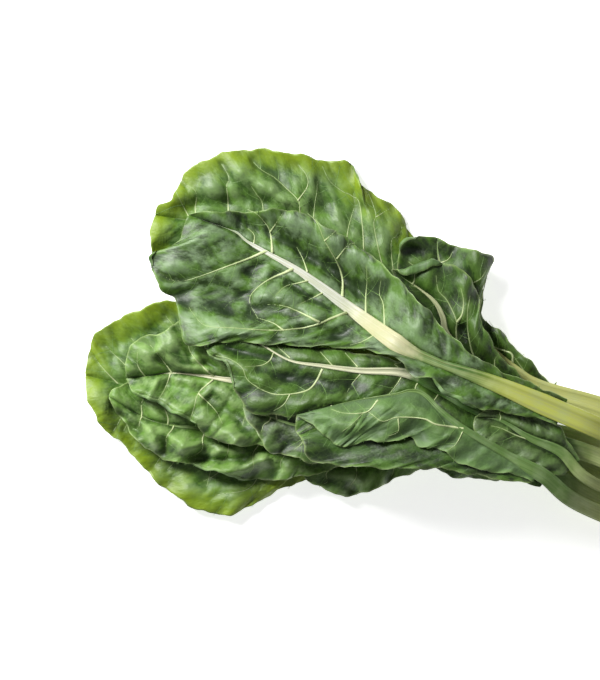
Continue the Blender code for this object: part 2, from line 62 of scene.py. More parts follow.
@dataclass
class Leaf:
    """One leaf, with left and right as seen looking from its base to its tip."""

    name: str
    slot: float  # sideways place of its stalk in the bundle
    midrib: tuple
    blade: float  # length of the blade
    left: tuple
    right: tuple
    stalk: float = 12.0  # width of the stalk
    rise: tuple = (0.0, 0.0, 0.0, 0.0)  # lift at the cut end, blade base, mid-blade and tip
    left_fall: tuple = (3.0, -4.0)  # height over the midrib half-way out and at the margin
    right_fall: tuple = (3.0, -4.0)
    ruffle: float = 7.0  # height of the waves at the margin
    waves: float = 5.0  # their number
    phase: float = 0.0  # and where they start
    stagger: float = 4.0  # how far its cut end stands out of the bundle
    folded: bool = False  # its right half is turned over onto its left half
    # its skin: its own colour, or a darker copy of the fresh skin that paints shade on a leaf lying under
    # others
    colour: str = "green"
    stalk_colour: str = "pale"


LEAVES = (
    Leaf(
        "back_left", slot=2, blade=300, stalk=16, left_fall=(1, -12), right_fall=(1, -12),
        colour="yellow_edged",
        midrib=((118, -86), (68, -78), (4, -74), (-76, -71), (-156, -58), (-212, -43), (-249, -34)),
        left=((20, -88), (-12, -100), (-44, -111), (-72, -118), (-100, -130), (-128, -145),
        (-152, -144), (-172, -134), (-196, -115), (-214, -94), (-236, -74), (-246, -54)),
        right=((36, -63), (4, -44), (-36, -20), (-84, 6), (-132, 24), (-174, 26), (-196, 23),
        (-222, 11), (-238, 2), (-246, -15)),
    ),
    Leaf(
        "back_top", slot=23, blade=295, stalk=16, left_fall=(1, -10), right_fall=(2, -12), ruffle=8,
        phase=1.1, stagger=-3, colour="yellow_edged",
        midrib=((120, -55), (76, -30), (28, 2), (-28, 34), (-84, 62), (-140, 85), (-193, 95)),
        left=((48, -31), (4, -26), (-44, -14), (-92, 6), (-140, 26), (-172, 42), (-190, 57),
        (-197, 74)),
        right=((68, -10), (48, 26), (28, 57), (14, 78), (7, 93), (-6, 106), (-26, 118), (-34, 136),
        (-56, 139), (-84, 145), (-114, 148), (-140, 144), (-160, 135), (-172, 124), (-179, 107),
        (-190, 103)),
    ),
    Leaf(
        "back_right", slot=43, blade=165, left_fall=(2, -4), right_fall=(3, -6), ruffle=9, waves=3.5,
        phase=2.0, stagger=5,
        midrib=((118, -44), (96, -31), (76, -14), (58, 6), (46, 30), (36, 57), (34, 77)),
        left=((104, -46), (80, -34), (56, -18), (32, 2), (14, 22), (4, 42), (2, 60), (7, 74), (18, 78)),
        right=((126, -41), (112, -26), (100, -15), (84, 2), (70, 14), (71, 30), (74, 46), (79, 62),
        (64, 66), (49, 70)),
    ),
    Leaf(
        "low_centre", slot=-18, blade=160, left_fall=(3, -5), waves=4, phase=0.6, stagger=-6,
        midrib=((116, -99), (68, -90), (28, -91), (-12, -98), (-44, -106), (-76, -110)),
        left=((60, -99), (30, -106), (4, -116), (-12, -123), (-34, -131), (-56, -126), (-70, -118)),
        right=((52, -78), (20, -74), (-12, -78), (-44, -86), (-68, -98)),
    ),
    Leaf(
        "low_right", slot=-39, blade=120, left_fall=(2, -5), right_fall=(3, -3), ruffle=6, waves=4,
        phase=2.4, stagger=2,
        midrib=((118, -114), (88, -102), (60, -97), (28, -94), (6, -89)),
        left=((110, -122), (100, -118), (90, -116), (76, -118), (56, -116), (42, -114), (28, -105)),
        right=((106, -98), (84, -87), (60, -81), (40, -81), (20, -83)),
    ),
    Leaf(
        "lower_left", slot=-8, blade=270, stalk=13, left_fall=(4, -6), waves=6, phase=0.3, stagger=-4,
        midrib=((116, -90), (36, -76), (-36, -71), (-100, -74), (-156, -76), (-196, -70), (-230, -51)),
        left=((12, -90), (-28, -103), (-68, -114), (-100, -118), (-124, -117), (-144, -111),
        (-164, -106), (-182, -102), (-198, -94), (-210, -82), (-222, -66)),
        right=((4, -54), (-44, -46), (-92, -42), (-140, -42), (-180, -40), (-208, -39), (-225, -44)),
    ),
    Leaf(
        "inner_left", slot=12, blade=255, stalk=14, left_fall=(4, -4), right_fall=(4, -5), waves=6,
        phase=1.7, stagger=3,
        midrib=((116, -77), (36, -62), (-36, -51), (-84, -43), (-130, -38), (-156, -34), (-180, -32),
        (-196, -34), (-216, -36)),
        left=((12, -74), (-28, -86), (-76, -91), (-120, -90), (-144, -86), (-162, -72), (-180, -62),
        (-196, -54), (-210, -47)),
        right=((8, -42), (-36, -23), (-84, -8), (-124, 2), (-152, 9), (-174, 9), (-188, 0), (-209, -6),
        (-215, -20)),
    ),
    Leaf(
        "fore_right", slot=33, blade=160, left_fall=(2, 2), right_fall=(4, 0), waves=3, phase=0.8,
        stagger=-2, stalk_colour="olive",
        midrib=((118, -52), (84, -38), (58, -20), (42, -2), (38, 14), (28, 29), (-3, 51)),
        left=((84, -50), (52, -36), (33, -15), (24, 2), (14, 22), (4, 38)),
        right=((114, -45), (92, -26), (78, -8), (69, 12), (67, 28), (63, 41), (54, 50), (44, 55),
        (33, 59), (20, 56), (7, 52)),
    ),
    Leaf(
        "under_centre", slot=-29, blade=190, left_fall=(3, -3), right_fall=(2, -3), ruffle=6, phase=2.9,
        stagger=6, colour="shade_dark",
        midrib=((108, -97), (52, -76), (4, -70), (-36, -71), (-76, -74), (-122, -59)),
        left=((20, -86), (-12, -95), (-40, -103), (-66, -104), (-78, -99), (-90, -98), (-102, -93),
        (-110, -81), (-118, -70)),
        right=((20, -58), (-20, -51), (-68, -47), (-100, -48), (-116, -52)),
    ),
    Leaf(
        "centre", slot=2, blade=250, stalk=14, rise=(0, 0, 0, 2), right_fall=(-5, -14), ruffle=5,
        waves=4, phase=1.9,
        midrib=((124, -86), (92, -70), (64, -58), (36, -44), (8, -32), (-28, -30), (-60, -26),
        (-84, -22), (-106, -10), (-124, -3), (-156, -5)),
        left=((72, -89), (52, -88), (30, -78), (12, -62), (-4, -54), (-44, -62), (-76, -66),
        (-100, -66), (-116, -63), (-124, -54), (-130, -39), (-135, -26), (-146, -19), (-151, -14)),
        right=((84, -58), (52, -42), (28, -28), (4, -22), (-28, -16), (-60, -11), (-84, -6), (-108, 0),
        (-128, 2), (-145, 0)),
    ),
    Leaf(
        "side_right", slot=-18, blade=90, stalk=9, right_fall=(-3, -10), ruffle=4, waves=3, phase=1.0,
        stagger=-5, colour="shade_dark",
        midrib=((132, -95), (108, -84), (84, -70), (63, -67)),
        left=((132, -113), (112, -110), (94, -104), (76, -96), (66, -86), (62, -75)),
        right=((131, -76), (114, -66), (94, -60), (74, -61)),
    ),
    Leaf(
        "folded", slot=-38, blade=215, rise=(0, 0, 3, 2), left_fall=(1, -2), right_fall=(5, 3),
        ruffle=4, waves=4, phase=0.9, stagger=1, folded=True,
        midrib=((118, -114), (84, -94), (54, -76), (36, -62), (23, -49), (12, -46), (0, -49),
        (-36, -55), (-79, -66)),
        left=((100, -119), (68, -114), (36, -108), (4, -108), (-36, -106), (-66, -102), (-73, -90),
        (-79, -78)),
        right=((100, -114), (76, -110), (54, -105), (38, -94), (20, -90), (12, -83), (0, -86),
        (-20, -86), (-40, -90), (-54, -85), (-64, -74)),
    ),
    Leaf(
        "main", slot=23, blade=340, stalk=17, rise=(0, 0, 2, 2), left_fall=(2, -10),
        right_fall=(-4, -2), phase=0.2, stagger=0, stalk_colour="olive",
        midrib=((118, -57), (88, -44), (60, -33), (32, -23), (4, -10), (-34, 18), (-76, 49), (-116, 72),
        (-130, 82), (-166, 95)),
        left=((120, -70), (92, -64), (62, -59), (46, -52), (34, -44), (28, -36), (18, -36), (10, -30),
        (0, -20), (-20, -14), (-52, -11), (-84, -10), (-116, -8), (-140, -7), (-156, -11), (-169, -6),
        (-173, 9), (-175, 26), (-186, 32), (-192, 46), (-198, 61), (-182, 68), (-172, 78)),
        right=((108, -40), (84, -30), (60, -16), (40, 2), (24, 20), (12, 32), (-6, 51), (-34, 73),
        (-63, 90), (-78, 98), (-100, 99), (-124, 97), (-148, 98)),
    ),
)
print(len(LEAVES), "leaves, the longest blade is", max(leaf.blade for leaf in LEAVES), "mm")

# %% [markdown]
# ## Side veins and folds that can be seen
# The strong side veins of the leaves in view are drawn by leaf and by half: -1 is the left half
# and 1 the right one. Folds are lines with a height and a reach in millimetres: the blade rises along a
# ridge and sinks along a valley. All other veins are grown by rule further down.

# %% Veins and folds drawn
VEINS = {
    ("main", -1): (
        ((-102, 66), (-122, 58), (-141, 51), (-158, 45), (-170, 42), (-180, 43), (-188, 48)),
        ((-82, 51), (-102, 42), (-114, 32), (-116, 24), (-110, 12)),
        ((-68, 42), (-86, 38), (-95, 31)),
        ((-34, 18), (-52, 11), (-66, 6), (-80, 3), (-100, 2), (-132, 4), (-152, 6), (-162, 16),
         (-166, 22)),
        ((-61, 9), (-79, 18), (-90, 22), (-102, 23)),
        ((-89, 2), (-98, 8), (-111, 12)),
        ((-56, 33), (-70, 26), (-78, 22)),
        ((-15, -1), (-26, -7), (-36, -10)),
    ),
    ("main", 1): (
        ((-98, 65), (-100, 82), (-105, 90), (-111, 96), (-118, 99)),
        ((-100, 81), (-90, 96)),
        ((-70, 49), (-74, 60), (-79, 70)),
        ((-42, 29), (-42, 45), (-46, 57), (-56, 74), (-62, 88), (-70, 96)),
        ((-56, 74), (-47, 82)),
        ((-46, 60), (-38, 70), (-32, 72)),
        ((-23, 14), (-23, 28), (-22, 42), (-23, 54)),
        ((-8, 1), (-9, 22), (-12, 31), (-11, 42)),
        ((-113, 72), (-113, 79), (-118, 84)),
    ),
    ("back_top", 1): (
        ((-133, 89), (-134, 109), (-135, 118), (-133, 125), (-139, 136)),
        ((-105, 76), (-106, 103), (-111, 112), (-115, 118)),
        ((-73, 60), (-76, 99), (-78, 107), (-88, 117), (-97, 125), (-107, 131), (-114, 138)),
        ((-78, 106), (-70, 118), (-71, 127), (-77, 135)),
        ((-23, 33), (-27, 99), (-34, 110), (-42, 114), (-52, 122), (-58, 134)),
        ((-2, 22), (-16, 82), (-15, 94), (-18, 105), (-22, 114)),
        ((-15, 93), (-4, 100)),
        ((4, 17), (-3, 70), (4, 78), (6, 86)),
        ((-164, 91), (-170, 102), (-176, 114)),
    ),
    ("back_left", -1): (
        ((-164, -56), (-179, -86), (-193, -107)),
        ((-136, -60), (-144, -94), (-151, -124)),
        ((-106, -66), (-107, -102), (-116, -124), (-142, -130)),
        ((-204, -45), (-216, -62), (-226, -79)),
        ((-68, -70), (-76, -94), (-92, -114)),
    ),
    ("back_left", 1): (
        ((-164, -56), (-188, -30), (-212, -4)),
        ((-196, -46), (-212, -30), (-233, -10)),
        ((-132, -61), (-156, -22), (-184, 14)),
        ((-92, -67), (-116, -30), (-144, 10)),
        ((-222, -41), (-232, -31), (-241, -20)),
    ),
    ("inner_left", -1): (
        ((-146, -38), (-157, -48), (-161, -60), (-164, -70)),
        ((-180, -33), (-185, -46), (-190, -54)),
        ((-157, -49), (-144, -62), (-138, -73)),
        ((-106, -40), (-116, -55), (-122, -74)),
    ),
    ("inner_left", 1): (
        ((-178, -33), (-188, -19), (-196, -10)),
        ((-143, -36), (-154, -27), (-164, -15), (-167, -2)),
        ((-200, -35), (-206, -26), (-206, -14)),
        ((-108, -40), (-124, -23), (-134, -10)),
    ),
    ("centre", -1): (
        ((-58, -29), (-63, -39), (-70, -46), (-85, -49), (-100, -48), (-117, -38), (-122, -28),
         (-132, -21), (-143, -18)),
        ((-97, -16), (-100, -22), (-107, -26), (-120, -27)),
        ((-25, -30), (-34, -40), (-40, -50)),
        ((6, -34), (-1, -44), (-7, -51)),
        ((-84, -49), (-89, -57), (-97, -62)),
        ((36, -47), (28, -58), (23, -66)),
    ),
    ("centre", 1): (
        ((-50, -26), (-60, -15)),
        ((-30, -27), (-40, -16)),
        ((-84, -20), (-95, -10)),
    ),
    ("folded", 1): (
        ((54, -76), (33, -73), (22, -68), (2, -67), (-11, -70), (-23, -63), (-34, -72), (-42, -78)),
        ((-14, -54), (-23, -63), (-40, -64), (-51, -61)),
        ((2, -68), (2, -78), (-6, -82)),
        ((54, -77), (48, -88), (42, -93)),
    ),
    ("fore_right", -1): (
        ((42, -18), (39, -8), (41, 2), (40, 11), (30, 25), (22, 34), (13, 38)),
        ((35, -10), (34, 0), (30, 10), (20, 18)),
    ),
    ("fore_right", 1): (
        ((63, -34), (56, -24), (51, -11), (49, 2), (49, 11), (42, 26), (35, 34), (33, 46)),
        ((50, 9), (54, 15), (55, 26), (53, 36)),
        ((76, -39), (65, -22), (60, -6), (58, 14), (60, 30)),
    ),
    ("back_right", 1): (
        ((95, -36), (95, -22), (93, -16), (80, -11), (74, -4), (66, 14), (62, 26)),
        ((113, -41), (104, -30), (95, -18)),
        ((66, 12), (70, 30), (74, 46)),
    ),
    ("side_right", -1): (
        ((109, -86), (97, -82), (84, -76), (76, -74)),
    ),
}

FOLDS = {
    "main": (
        (((-122, 88), (-88, 73), (-66, 59), (-48, 49), (-31, 34)), -11, 9),
        (((-110, 96), (-84, 92), (-60, 81), (-39, 66), (-15, 50)), 8, 11),
        (((-162, 97), (-138, 88), (-118, 76)), 5, 6),
        (((-100, 62), (-70, 40), (-40, 18)), 4, 8),
        (((-159, 12), (-124, 6), (-80, 5), (-40, 14)), 9, 10),
        (((-132, 13), (-116, 7), (-96, 0)), -6, 7),
        (((-144, -6), (-108, -7), (-60, -10), (-20, -13)), -8, 10),
        (((-169, 34), (-144, 33), (-124, 30)), -4, 9),
        (((-182, 57), (-164, 70), (-146, 86)), 4, 10),
        (((-116, 50), (-102, 56), (-94, 50)), -7, 7),
        (((-84, 41), (-73, 33)), -8, 6),
        (((-66, 28), (-52, 20)), -7, 6),
        (((-106, 30), (-84, 25), (-64, 15)), 6, 8),
        (((0, 26), (20, -10)), 4, 10),
        (((28, -35), (35, -43), (47, -50), (62, -57)), 3, 4),
        (((64, -54), (84, -66), (116, -76)), -5, 6),
    ),
    "back_top": (
        (((-180, 107), (-156, 114), (-135, 114)), 5, 9),
        (((-172, 97), (-152, 102), (-137, 102)), -4, 8),
        (((-122, 128), (-90, 108), (-75, 99)), 7, 8),
        (((-116, 106), (-106, 103), (-96, 108)), -4, 7),
        (((-76, 94), (-52, 102), (-34, 97), (-20, 78)), -5, 10),
        (((-34, 136), (-34, 122), (-26, 102)), -4, 7),
        (((-26, 118), (-18, 94), (-12, 70)), 4, 8),
    ),
    "back_left": (
        (((-236, -10), (-212, -10), (-184, 6)), -4, 10),
        (((-236, -54), (-204, -63), (-172, -70)), 4, 12),
        (((-164, -122), (-136, -127), (-106, -122)), 4, 10),
        (((-212, -86), (-176, -110), (-140, -118)), -3, 10),
    ),
    "inner_left": (
        (((-202, -15), (-184, -10), (-168, -2)), 4, 7),
        (((-174, -2), (-152, -10), (-136, -18)), -4, 7),
        (((-188, -23), (-172, -26), (-152, -26)), -3, 5),
        (((-183, -41), (-168, -44), (-156, -44)), -6, 6),
        (((-204, -47), (-176, -60), (-160, -70)), 5, 5),
        (((-152, -70), (-128, -85)), 7, 7),
        (((-146, -53), (-124, -68)), -7, 7),
        (((-189, -14), (-174, -27), (-151, -30)), 4, 3),
        (((-160, -21), (-153, -27), (-146, -31)), 4, 3),
        (((-150, -24), (-134, -31)), -6, 4),
        (((-190, -20), (-180, -29)), -4, 3),
    ),
    "lower_left": (
        (((-227, -52), (-218, -60), (-198, -76), (-191, -90)), 6, 4),
        (((-220, -66), (-206, -80)), -4, 4),
        (((-190, -74), (-172, -88)), 6, 7),
        (((-169, -93), (-151, -88), (-135, -93)), 5, 4),
        (((-160, -106), (-140, -112), (-123, -110), (-106, -101)), 5, 4),
        (((-156, -70), (-136, -76), (-124, -86)), 5, 9),
        (((-162, -101), (-140, -102), (-120, -102)), -6, 4),
        (((-132, -110), (-112, -103), (-96, -98)), 4, 6),
    ),
    "centre": (
        (((-134, -11), (-116, -15), (-98, -19)), -8, 7),
        (((-144, -14), (-124, -27), (-106, -36)), 6, 7),
        (((-109, -31), (-88, -36)), -6, 6),
        (((-146, -8), (-122, -6)), 4, 4),
        (((-76, -36), (-52, -42), (-36, -39)), -8, 10),
        (((-112, -55), (-76, -58), (-44, -52)), 3, 8),
        (((-44, -15), (-20, -18), (4, -23)), 3, 6),
    ),
    "folded": (
        (((-40, -74), (-26, -76), (-14, -73)), 3, 8),
        (((36, -79), (54, -82)), 4, 8),
        (((-60, -64), (-44, -72), (-30, -72)), 5, 6),
        (((40, -68), (54, -80), (66, -88)), -5, 5),
        (((-8, -60), (10, -60), (28, -66)), 4, 6),
        (((-12, -79), (4, -82), (20, -79)), -4, 7),
    ),
    "fore_right": (
        (((20, 10), (26, -4), (33, -13)), -6, 5),
        (((54, 4), (58, -14), (68, -31), (78, -42)), -6, 5),
        (((63, 20), (64, 2), (70, -16), (82, -32)), 4, 5),
        (((45, 4), (48, -12), (60, -28), (76, -40)), 3, 4),
        (((54, 38), (57, 26), (56, 10)), 4, 6),
        (((10, 26), (14, 10), (18, -6)), 4, 6),
    ),
    "back_right": (
        (((64, 66), (68, 50), (66, 26)), 4, 7),
        (((12, 66), (32, 68), (44, 60)), -6, 8),
        (((82, -2), (92, -14), (104, -28)), 4, 6),
    ),
    "under_centre": (
        (((-112, -70), (-92, -78), (-76, -86)), -4, 9),
    ),
    "low_centre": (
        (((-52, -98), (-36, -106), (-26, -118)), 5, 7),
        (((-68, -110), (-48, -119), (-34, -126)), -4, 6),
    ),
    "low_right": (
        (((8, -95), (28, -100), (52, -110)), 4, 6),
    ),
}
print(sum(map(len, VEINS.values())), "veins and", sum(map(len, FOLDS.values())), "folds drawn")

# %% [markdown]
# ## Curves and the midrib
# A smooth curve through a few points is enough for a margin or a midrib. This one passes through every
# point that it is given, so an outline can be corrected by moving one point. The same function also
# thickens a coarse table of heights into a fine one.

# %% Smooth curves and the midrib's path
def spline(points, at):
    """A smooth curve through the points, read at positions from 0 to len(points) - 1."""
    points = np.asarray(points, float)
    first, last = 2 * points[0] - points[1], 2 * points[-1] - points[-2]
    padded = np.concatenate([[first], points, [last]])
    cell = np.clip(np.floor(at).astype(int), 0, len(points) - 2)
    u = (at - cell).reshape(-1, *[1] * (points.ndim - 1))
    a, b, c, d = (padded[cell + k] for k in range(4))
    square, cube = 2 * a - 5 * b + 4 * c - d, 3 * b - a - 3 * c + d
    return 0.5 * (2 * b + (c - a) * u + square * u**2 + cube * u**3)


def measured(line):
    """Distance along a line at each of its points."""
    return np.concatenate([[0], np.cumsum(np.linalg.norm(np.diff(line, axis=0), axis=1))])


def read_line(line, along, at):
    return np.stack([np.interp(at, along, line[:, k]) for k in range(line.shape[1])], axis=-1)


STEP = 1.5  # between the points of a drawn line
RIB_POINTS = 400
LOOK_AHEAD = 4.0  # the distance over which a rib's heading is taken


def drawn(points):
    """Points an even step apart on the smooth curve through a few points."""
    line = spline(points, np.linspace(0, len(points) - 1, 20 * len(points)))
    along = measured(line)
    return read_line(line, along, np.linspace(0, along[-1], max(3, int(along[-1] / STEP) + 1)))


class RibPath:
    """The plan curve of a stalk and its midrib, read by distance from the cut end."""

    def __init__(self, leaf):
        along = (CUT_END - NECK) / np.linalg.norm(CUT_END - NECK)
        aside = np.array([-along[1], along[0]])
        start = CUT_END + aside * leaf.slot * GATHERED + along * leaf.stagger
        knots = np.array([start, NECK + aside * leaf.slot, *leaf.midrib], float)
        self.points = spline(knots, np.linspace(0, len(knots) - 1, RIB_POINTS))
        self.distance = measured(self.points)
        self.length = self.distance[-1]
        self.stalk_length = self.length - leaf.blade

    def at(self, distance):
        return read_line(self.points, self.distance, distance)

    def heading(self, distance):
        after = self.at(np.minimum(distance + LOOK_AHEAD, self.length))
        ahead = after - self.at(np.maximum(distance - LOOK_AHEAD, 0))
        return ahead / np.linalg.norm(ahead, axis=-1, keepdims=True)

    def frame(self, distance):
        """Points of the midrib, the way it heads there and the way to its right."""
        heading = self.heading(distance)
        return self.at(distance), heading, np.stack([heading[:, 1], -heading[:, 0]], axis=-1)


RIB_TIP_WIDTH = 1.4
RIB_TIP_DEPTH = 1.4
RIB_DEPTH = 0.56  # of the stalk's width
VEINS_END_AT = 0.93  # of the blade's length


def rib_taper(share):
    """Width of a midrib as a share of the stalk's, from the blade's base to its tip."""
    return np.cos(np.pi / 2 * np.clip(share, 0, 1)) ** 2


def rib_width(leaf, share):
    return RIB_TIP_WIDTH + (leaf.stalk - RIB_TIP_WIDTH) * rib_taper(share)


def rib_depth(leaf, share):
    return RIB_TIP_DEPTH + (leaf.stalk * RIB_DEPTH - RIB_TIP_DEPTH) * rib_taper(share)


PATHS = {leaf.name: RibPath(leaf) for leaf in LEAVES}
print("stalk lengths in mm:", {name: round(path.stalk_length) for name, path in PATHS.items()})

# %% [markdown]
# ## Half a blade, seen from above
# Side veins leave the midrib aslant, so the rows of the grid do too. Each row runs from the midrib to the
# place on the margin that lies out and forward of it, and the places are evened so that no row crosses
# another. Rows that lean like the veins let every later wave and colour follow the leaf's own build.

# %% Rows from the midrib to the margin
LEAN = 0.6  # how far each side vein leans to the tip
BOW = 0.08  # and how far it bows from a straight line
BLADE_ROWS = 18
HALF_COLUMNS = 5
TIP_CROWDING = 1.25  # rows are closer together towards the tip
RIB_SLIT = 0.8  # from the rib's side to the coarse blade's first points
MARGIN_POINTS = 300
STRAY_COSTS = 0.35  # what it costs a row to end away from its even place on the margin
BACK_COSTS = 3.0  # and on the wrong side of the midrib
EVENING_ROUNDS = 6


def row_shares():
    return 1 - (1 - np.arange(BLADE_ROWS) / BLADE_ROWS) ** TIP_CROWDING


def across(leaf, path, side, shares, gap):
    """Where rows leave the midrib, the way it heads there and the way out from it."""
    distance = path.stalk_length + shares * leaf.blade
    centre, heading, right = path.frame(distance)
    out = (-1 if leaf.folded else side) * right
    return centre + out * (rib_width(leaf, shares) / 2 + gap)[:, None], heading, out


def evened(values, first, last):
    """The values with their steps smoothed, between fixed ends."""
    values = np.concatenate([[first], values[1:], [last]])
    for _ in range(EVENING_ROUNDS):
        values[1:-1] = (values[:-2] + 2 * values[1:-1] + values[2:]) / 4
    return values[:-1]


def margin_reached(leaf, path, side, margin):
    """The margin as a fine line, and how far along it each coarse row ends."""
    shares = row_shares()
    inner, heading, out = across(leaf, path, side, shares, RIB_SLIT)
    knots = np.array([inner[0] + 2 * out[0], *margin, path.at(path.length)])
    line = spline(knots, np.linspace(0, len(knots) - 1, MARGIN_POINTS))
    along = measured(line)
    away = line[None] - inner[:, None]
    forward, sideways = (away * heading[:, None]).sum(-1), (away * out[:, None]).sum(-1)
    stray = np.abs(along / along[-1] - shares[:, None]) * along[-1]
    cost = np.abs(forward - LEAN * sideways) + STRAY_COSTS * stray
    cost = cost + BACK_COSTS * np.maximum(-sideways, 0)
    return line, along, evened(along[np.maximum.accumulate(cost.argmin(axis=1))], 0, along[-1])


def rows_between(inner, heading, outer, columns):
    width = np.linalg.norm(outer - inner, axis=1)
    t = np.linspace(0, 1, columns)[:, None]
    bow = -4 * BOW * (width[:, None] * heading)[:, None] * t * (1 - t)
    return inner[:, None] + (outer - inner)[:, None] * t + bow


def half_plan(leaf, path, side, margin):
    line, along, reached = margin_reached(leaf, path, side, margin)
    inner, heading, _ = across(leaf, path, side, row_shares(), RIB_SLIT)
    return rows_between(inner, heading, read_line(line, along, reached), HALF_COLUMNS)


# %% [markdown]
# ## A pile that remembers its top
# Thirteen limp leaves can't be placed by hand without cutting through each other, and a cloth solver is
# slow for so many. A height map of the pile is enough: each leaf asks it how high the ground is, lies
# down a little over it, and then adds its own top to it.

# %% The height map of the pile
CLEAR = 0.4  # least gap between two leaves
CELL = 2.0
MAP_X = (-300.0, 300.0)
MAP_Y = (-200.0, 200.0)


def moved(field, steps, axis):
    """The map moved along one axis by each number of cells up to some steps."""
    padded = np.pad(field, [(steps, steps) if k == axis else (0, 0) for k in (0, 1)], mode="edge")
    return [padded.take(range(k, k + field.shape[axis]), axis) for k in range(2 * steps + 1)]


def grown(field, steps):
    """Each cell raised to the highest one within some steps of it."""
    for axis in (0, 1):
        field = np.max(moved(field, steps, axis), axis=0)
    return field


def bell(steps):
    weights = np.hanning(2 * steps + 3)[1:-1]
    return weights / weights.sum()


def softened(field, steps):
    for axis in (0, 1):
        field = sum(w * layer for w, layer in zip(bell(steps), moved(field, steps, axis)))
    return field


class Pile:
    """A height map of the top of everything laid so far."""

    def __init__(self, cell=CELL):
        self.cell = cell
        self.top = np.full([int((high - low) / cell) for low, high in (MAP_X, MAP_Y)], -CLEAR)

    def cells(self, points):
        return tuple(
            np.clip(((points[..., k] - low) / self.cell).astype(int), 1, self.top.shape[k] - 2)
            for k, (low, _) in enumerate((MAP_X, MAP_Y))
        )

    def add(self, points):
        np.maximum.at(self.top, self.cells(points), points[..., 2])

    def add_sheet(self, grid):
        triangles = grid.reshape(-1, 3)[grid_triangles(*grid.shape[:2])]
        samples = filled(triangles, self.cell / 2)[0]
        samples[..., 2] += half_thickness(triangles)[:, None]
        self.add(samples)

    def topped_by(self, grid):
        """A copy with one more sheet on it."""
        more = Pile(self.cell)
        more.top = self.top.copy()
        more.add_sheet(grid)
        return more

    def highest_near(self, reach):
        return grown(self.top, max(1, int(round(reach / self.cell))))

    def draped(self, reach):
        """A smooth map that is nowhere lower than the pile."""
        return softened(self.highest_near(reach), int(round(reach / self.cell)))


def grid_triangles(rows, columns):
    """Triangles of a grid of points numbered row by row."""
    i, j = np.meshgrid(np.arange(rows - 1), np.arange(columns - 1), indexing="ij")
    a = (i * columns + j).ravel()
    b, c, d = a + 1, a + columns + 1, a + columns
    return np.concatenate([np.stack([a, b, c], 1), np.stack([a, c, d], 1)])


def filled(triangles, spacing):
    """Points spread over triangles no further apart than spacing, with their corner weights."""
    longest = np.linalg.norm(triangles[:, :, :2] - np.roll(triangles[:, :, :2], 1, 1), axis=-1).max()
    count = max(2, int(np.ceil(longest / spacing)))
    weights = [(i, j, count - i - j) for i in range(count + 1) for j in range(count + 1 - i)]
    weights = np.array(weights, float) / count
    return np.einsum("kc,tcd->tkd", weights, triangles), weights


BLADE_THICK = 0.6
STEEPEST = 0.3  # least upright share of a normal that is reckoned with


def half_thickness(triangles):
    """Height from a sheet's middle surface to its skin, which grows where it slopes."""
    normal = np.cross(triangles[:, 1] - triangles[:, 0], triangles[:, 2] - triangles[:, 0])
    upright = np.abs(normal[:, 2]) / np.maximum(np.linalg.norm(normal, axis=1), 1e-9)
    return 0.5 * BLADE_THICK / np.maximum(upright, STEEPEST)


def plan_cover(leaf):
    """Map of the cells that a leaf covers, as ones and noughts."""
    own = Pile()
    for side, margin in ((-1, leaf.left), (1, leaf.right)):
        plan = half_plan(leaf, PATHS[leaf.name], side, margin)
        flat = np.concatenate([plan, np.ones((*plan.shape[:2], 1))], axis=-1).reshape(-1, 3)
        own.add(filled(flat[grid_triangles(*plan.shape[:2])], CELL)[0])
    return (own.top > 0).astype(float)


COVERS = [plan_cover(leaf) for leaf in LEAVES]
DRAPE_REACH = 8.0  # a blade bridges hollows narrower than about twice this
LOADS = {
    leaf.name: softened(sum(COVERS[k + 1 :], np.zeros_like(COVERS[0])), int(DRAPE_REACH / CELL))
    for k, leaf in enumerate(LEAVES)
}
print("most leaves over one spot:", int(np.sum(COVERS, axis=0).max()))

# %% [markdown]
# ## Laying a leaf down
# A stalk is stiff and a blade is limp. So the rib's height is a smooth line over the highest things under
# it, while each half of the blade keeps its own arch where it can and follows the pile where it must.
# Halves that are still too low lift the rib a little, and the two settle in a few rounds.

# %% Laying a coarse leaf on the pile
STALK_REACH = 24.0
STALK_BENDS_OVER = 60.0  # length in which a stalk comes down from a raised blade
DRAPE_SOFTNESS = 2.5
LIFT_ROUNDS = 16
SETTLE_ROUNDS = 6
FOLD_DROP = 3.0  # between the inner edges of a folded leaf's two halves
RIB_CROWN = 0.5  # how far a rib is reckoned to stand over its own line
PRESSED = 1.6  # how strongly one leaf lying on another flattens its ruffles
RIB_STEP = 5.0  # between the places where a rib's height is kept
RIB_STRIPS = 17  # lines of points that stand for a rib on the map
SETTLED = 0.05
LEAST_HOLD = 0.15  # a triangle's least hold on its corners when they are lifted


def soft_max(a, b, softness):
    return 0.5 * (a + b + np.sqrt((a - b) ** 2 + softness**2))


def stiffened(values, length, step):
    """A smooth line that is nowhere lower than the values."""
    reach = int(round(length / step))
    padded = np.pad(values, 2 * reach, mode="edge")
    widest = np.max([np.roll(padded, k) for k in range(-reach, reach + 1)], axis=0)
    return np.convolve(widest, bell(reach), mode="same")[2 * reach : -2 * reach]


def rib_heights(leaf, path, pile, distance):
    """Height of the rib's upper corners along the stalk and midrib: stiff, and clear of all below."""
    share = (distance - path.stalk_length) / leaf.blade
    near = pile.highest_near(leaf.stalk / 2 + CELL / 2)
    need = near[pile.cells(path.at(distance))] + CLEAR + rib_depth(leaf, share)
    base = path.stalk_length / path.length
    lift = np.interp(distance / path.length, (0, base, (1 + base) / 2, 1), leaf.rise)
    return stiffened(need, STALK_REACH, distance[1]) + lift


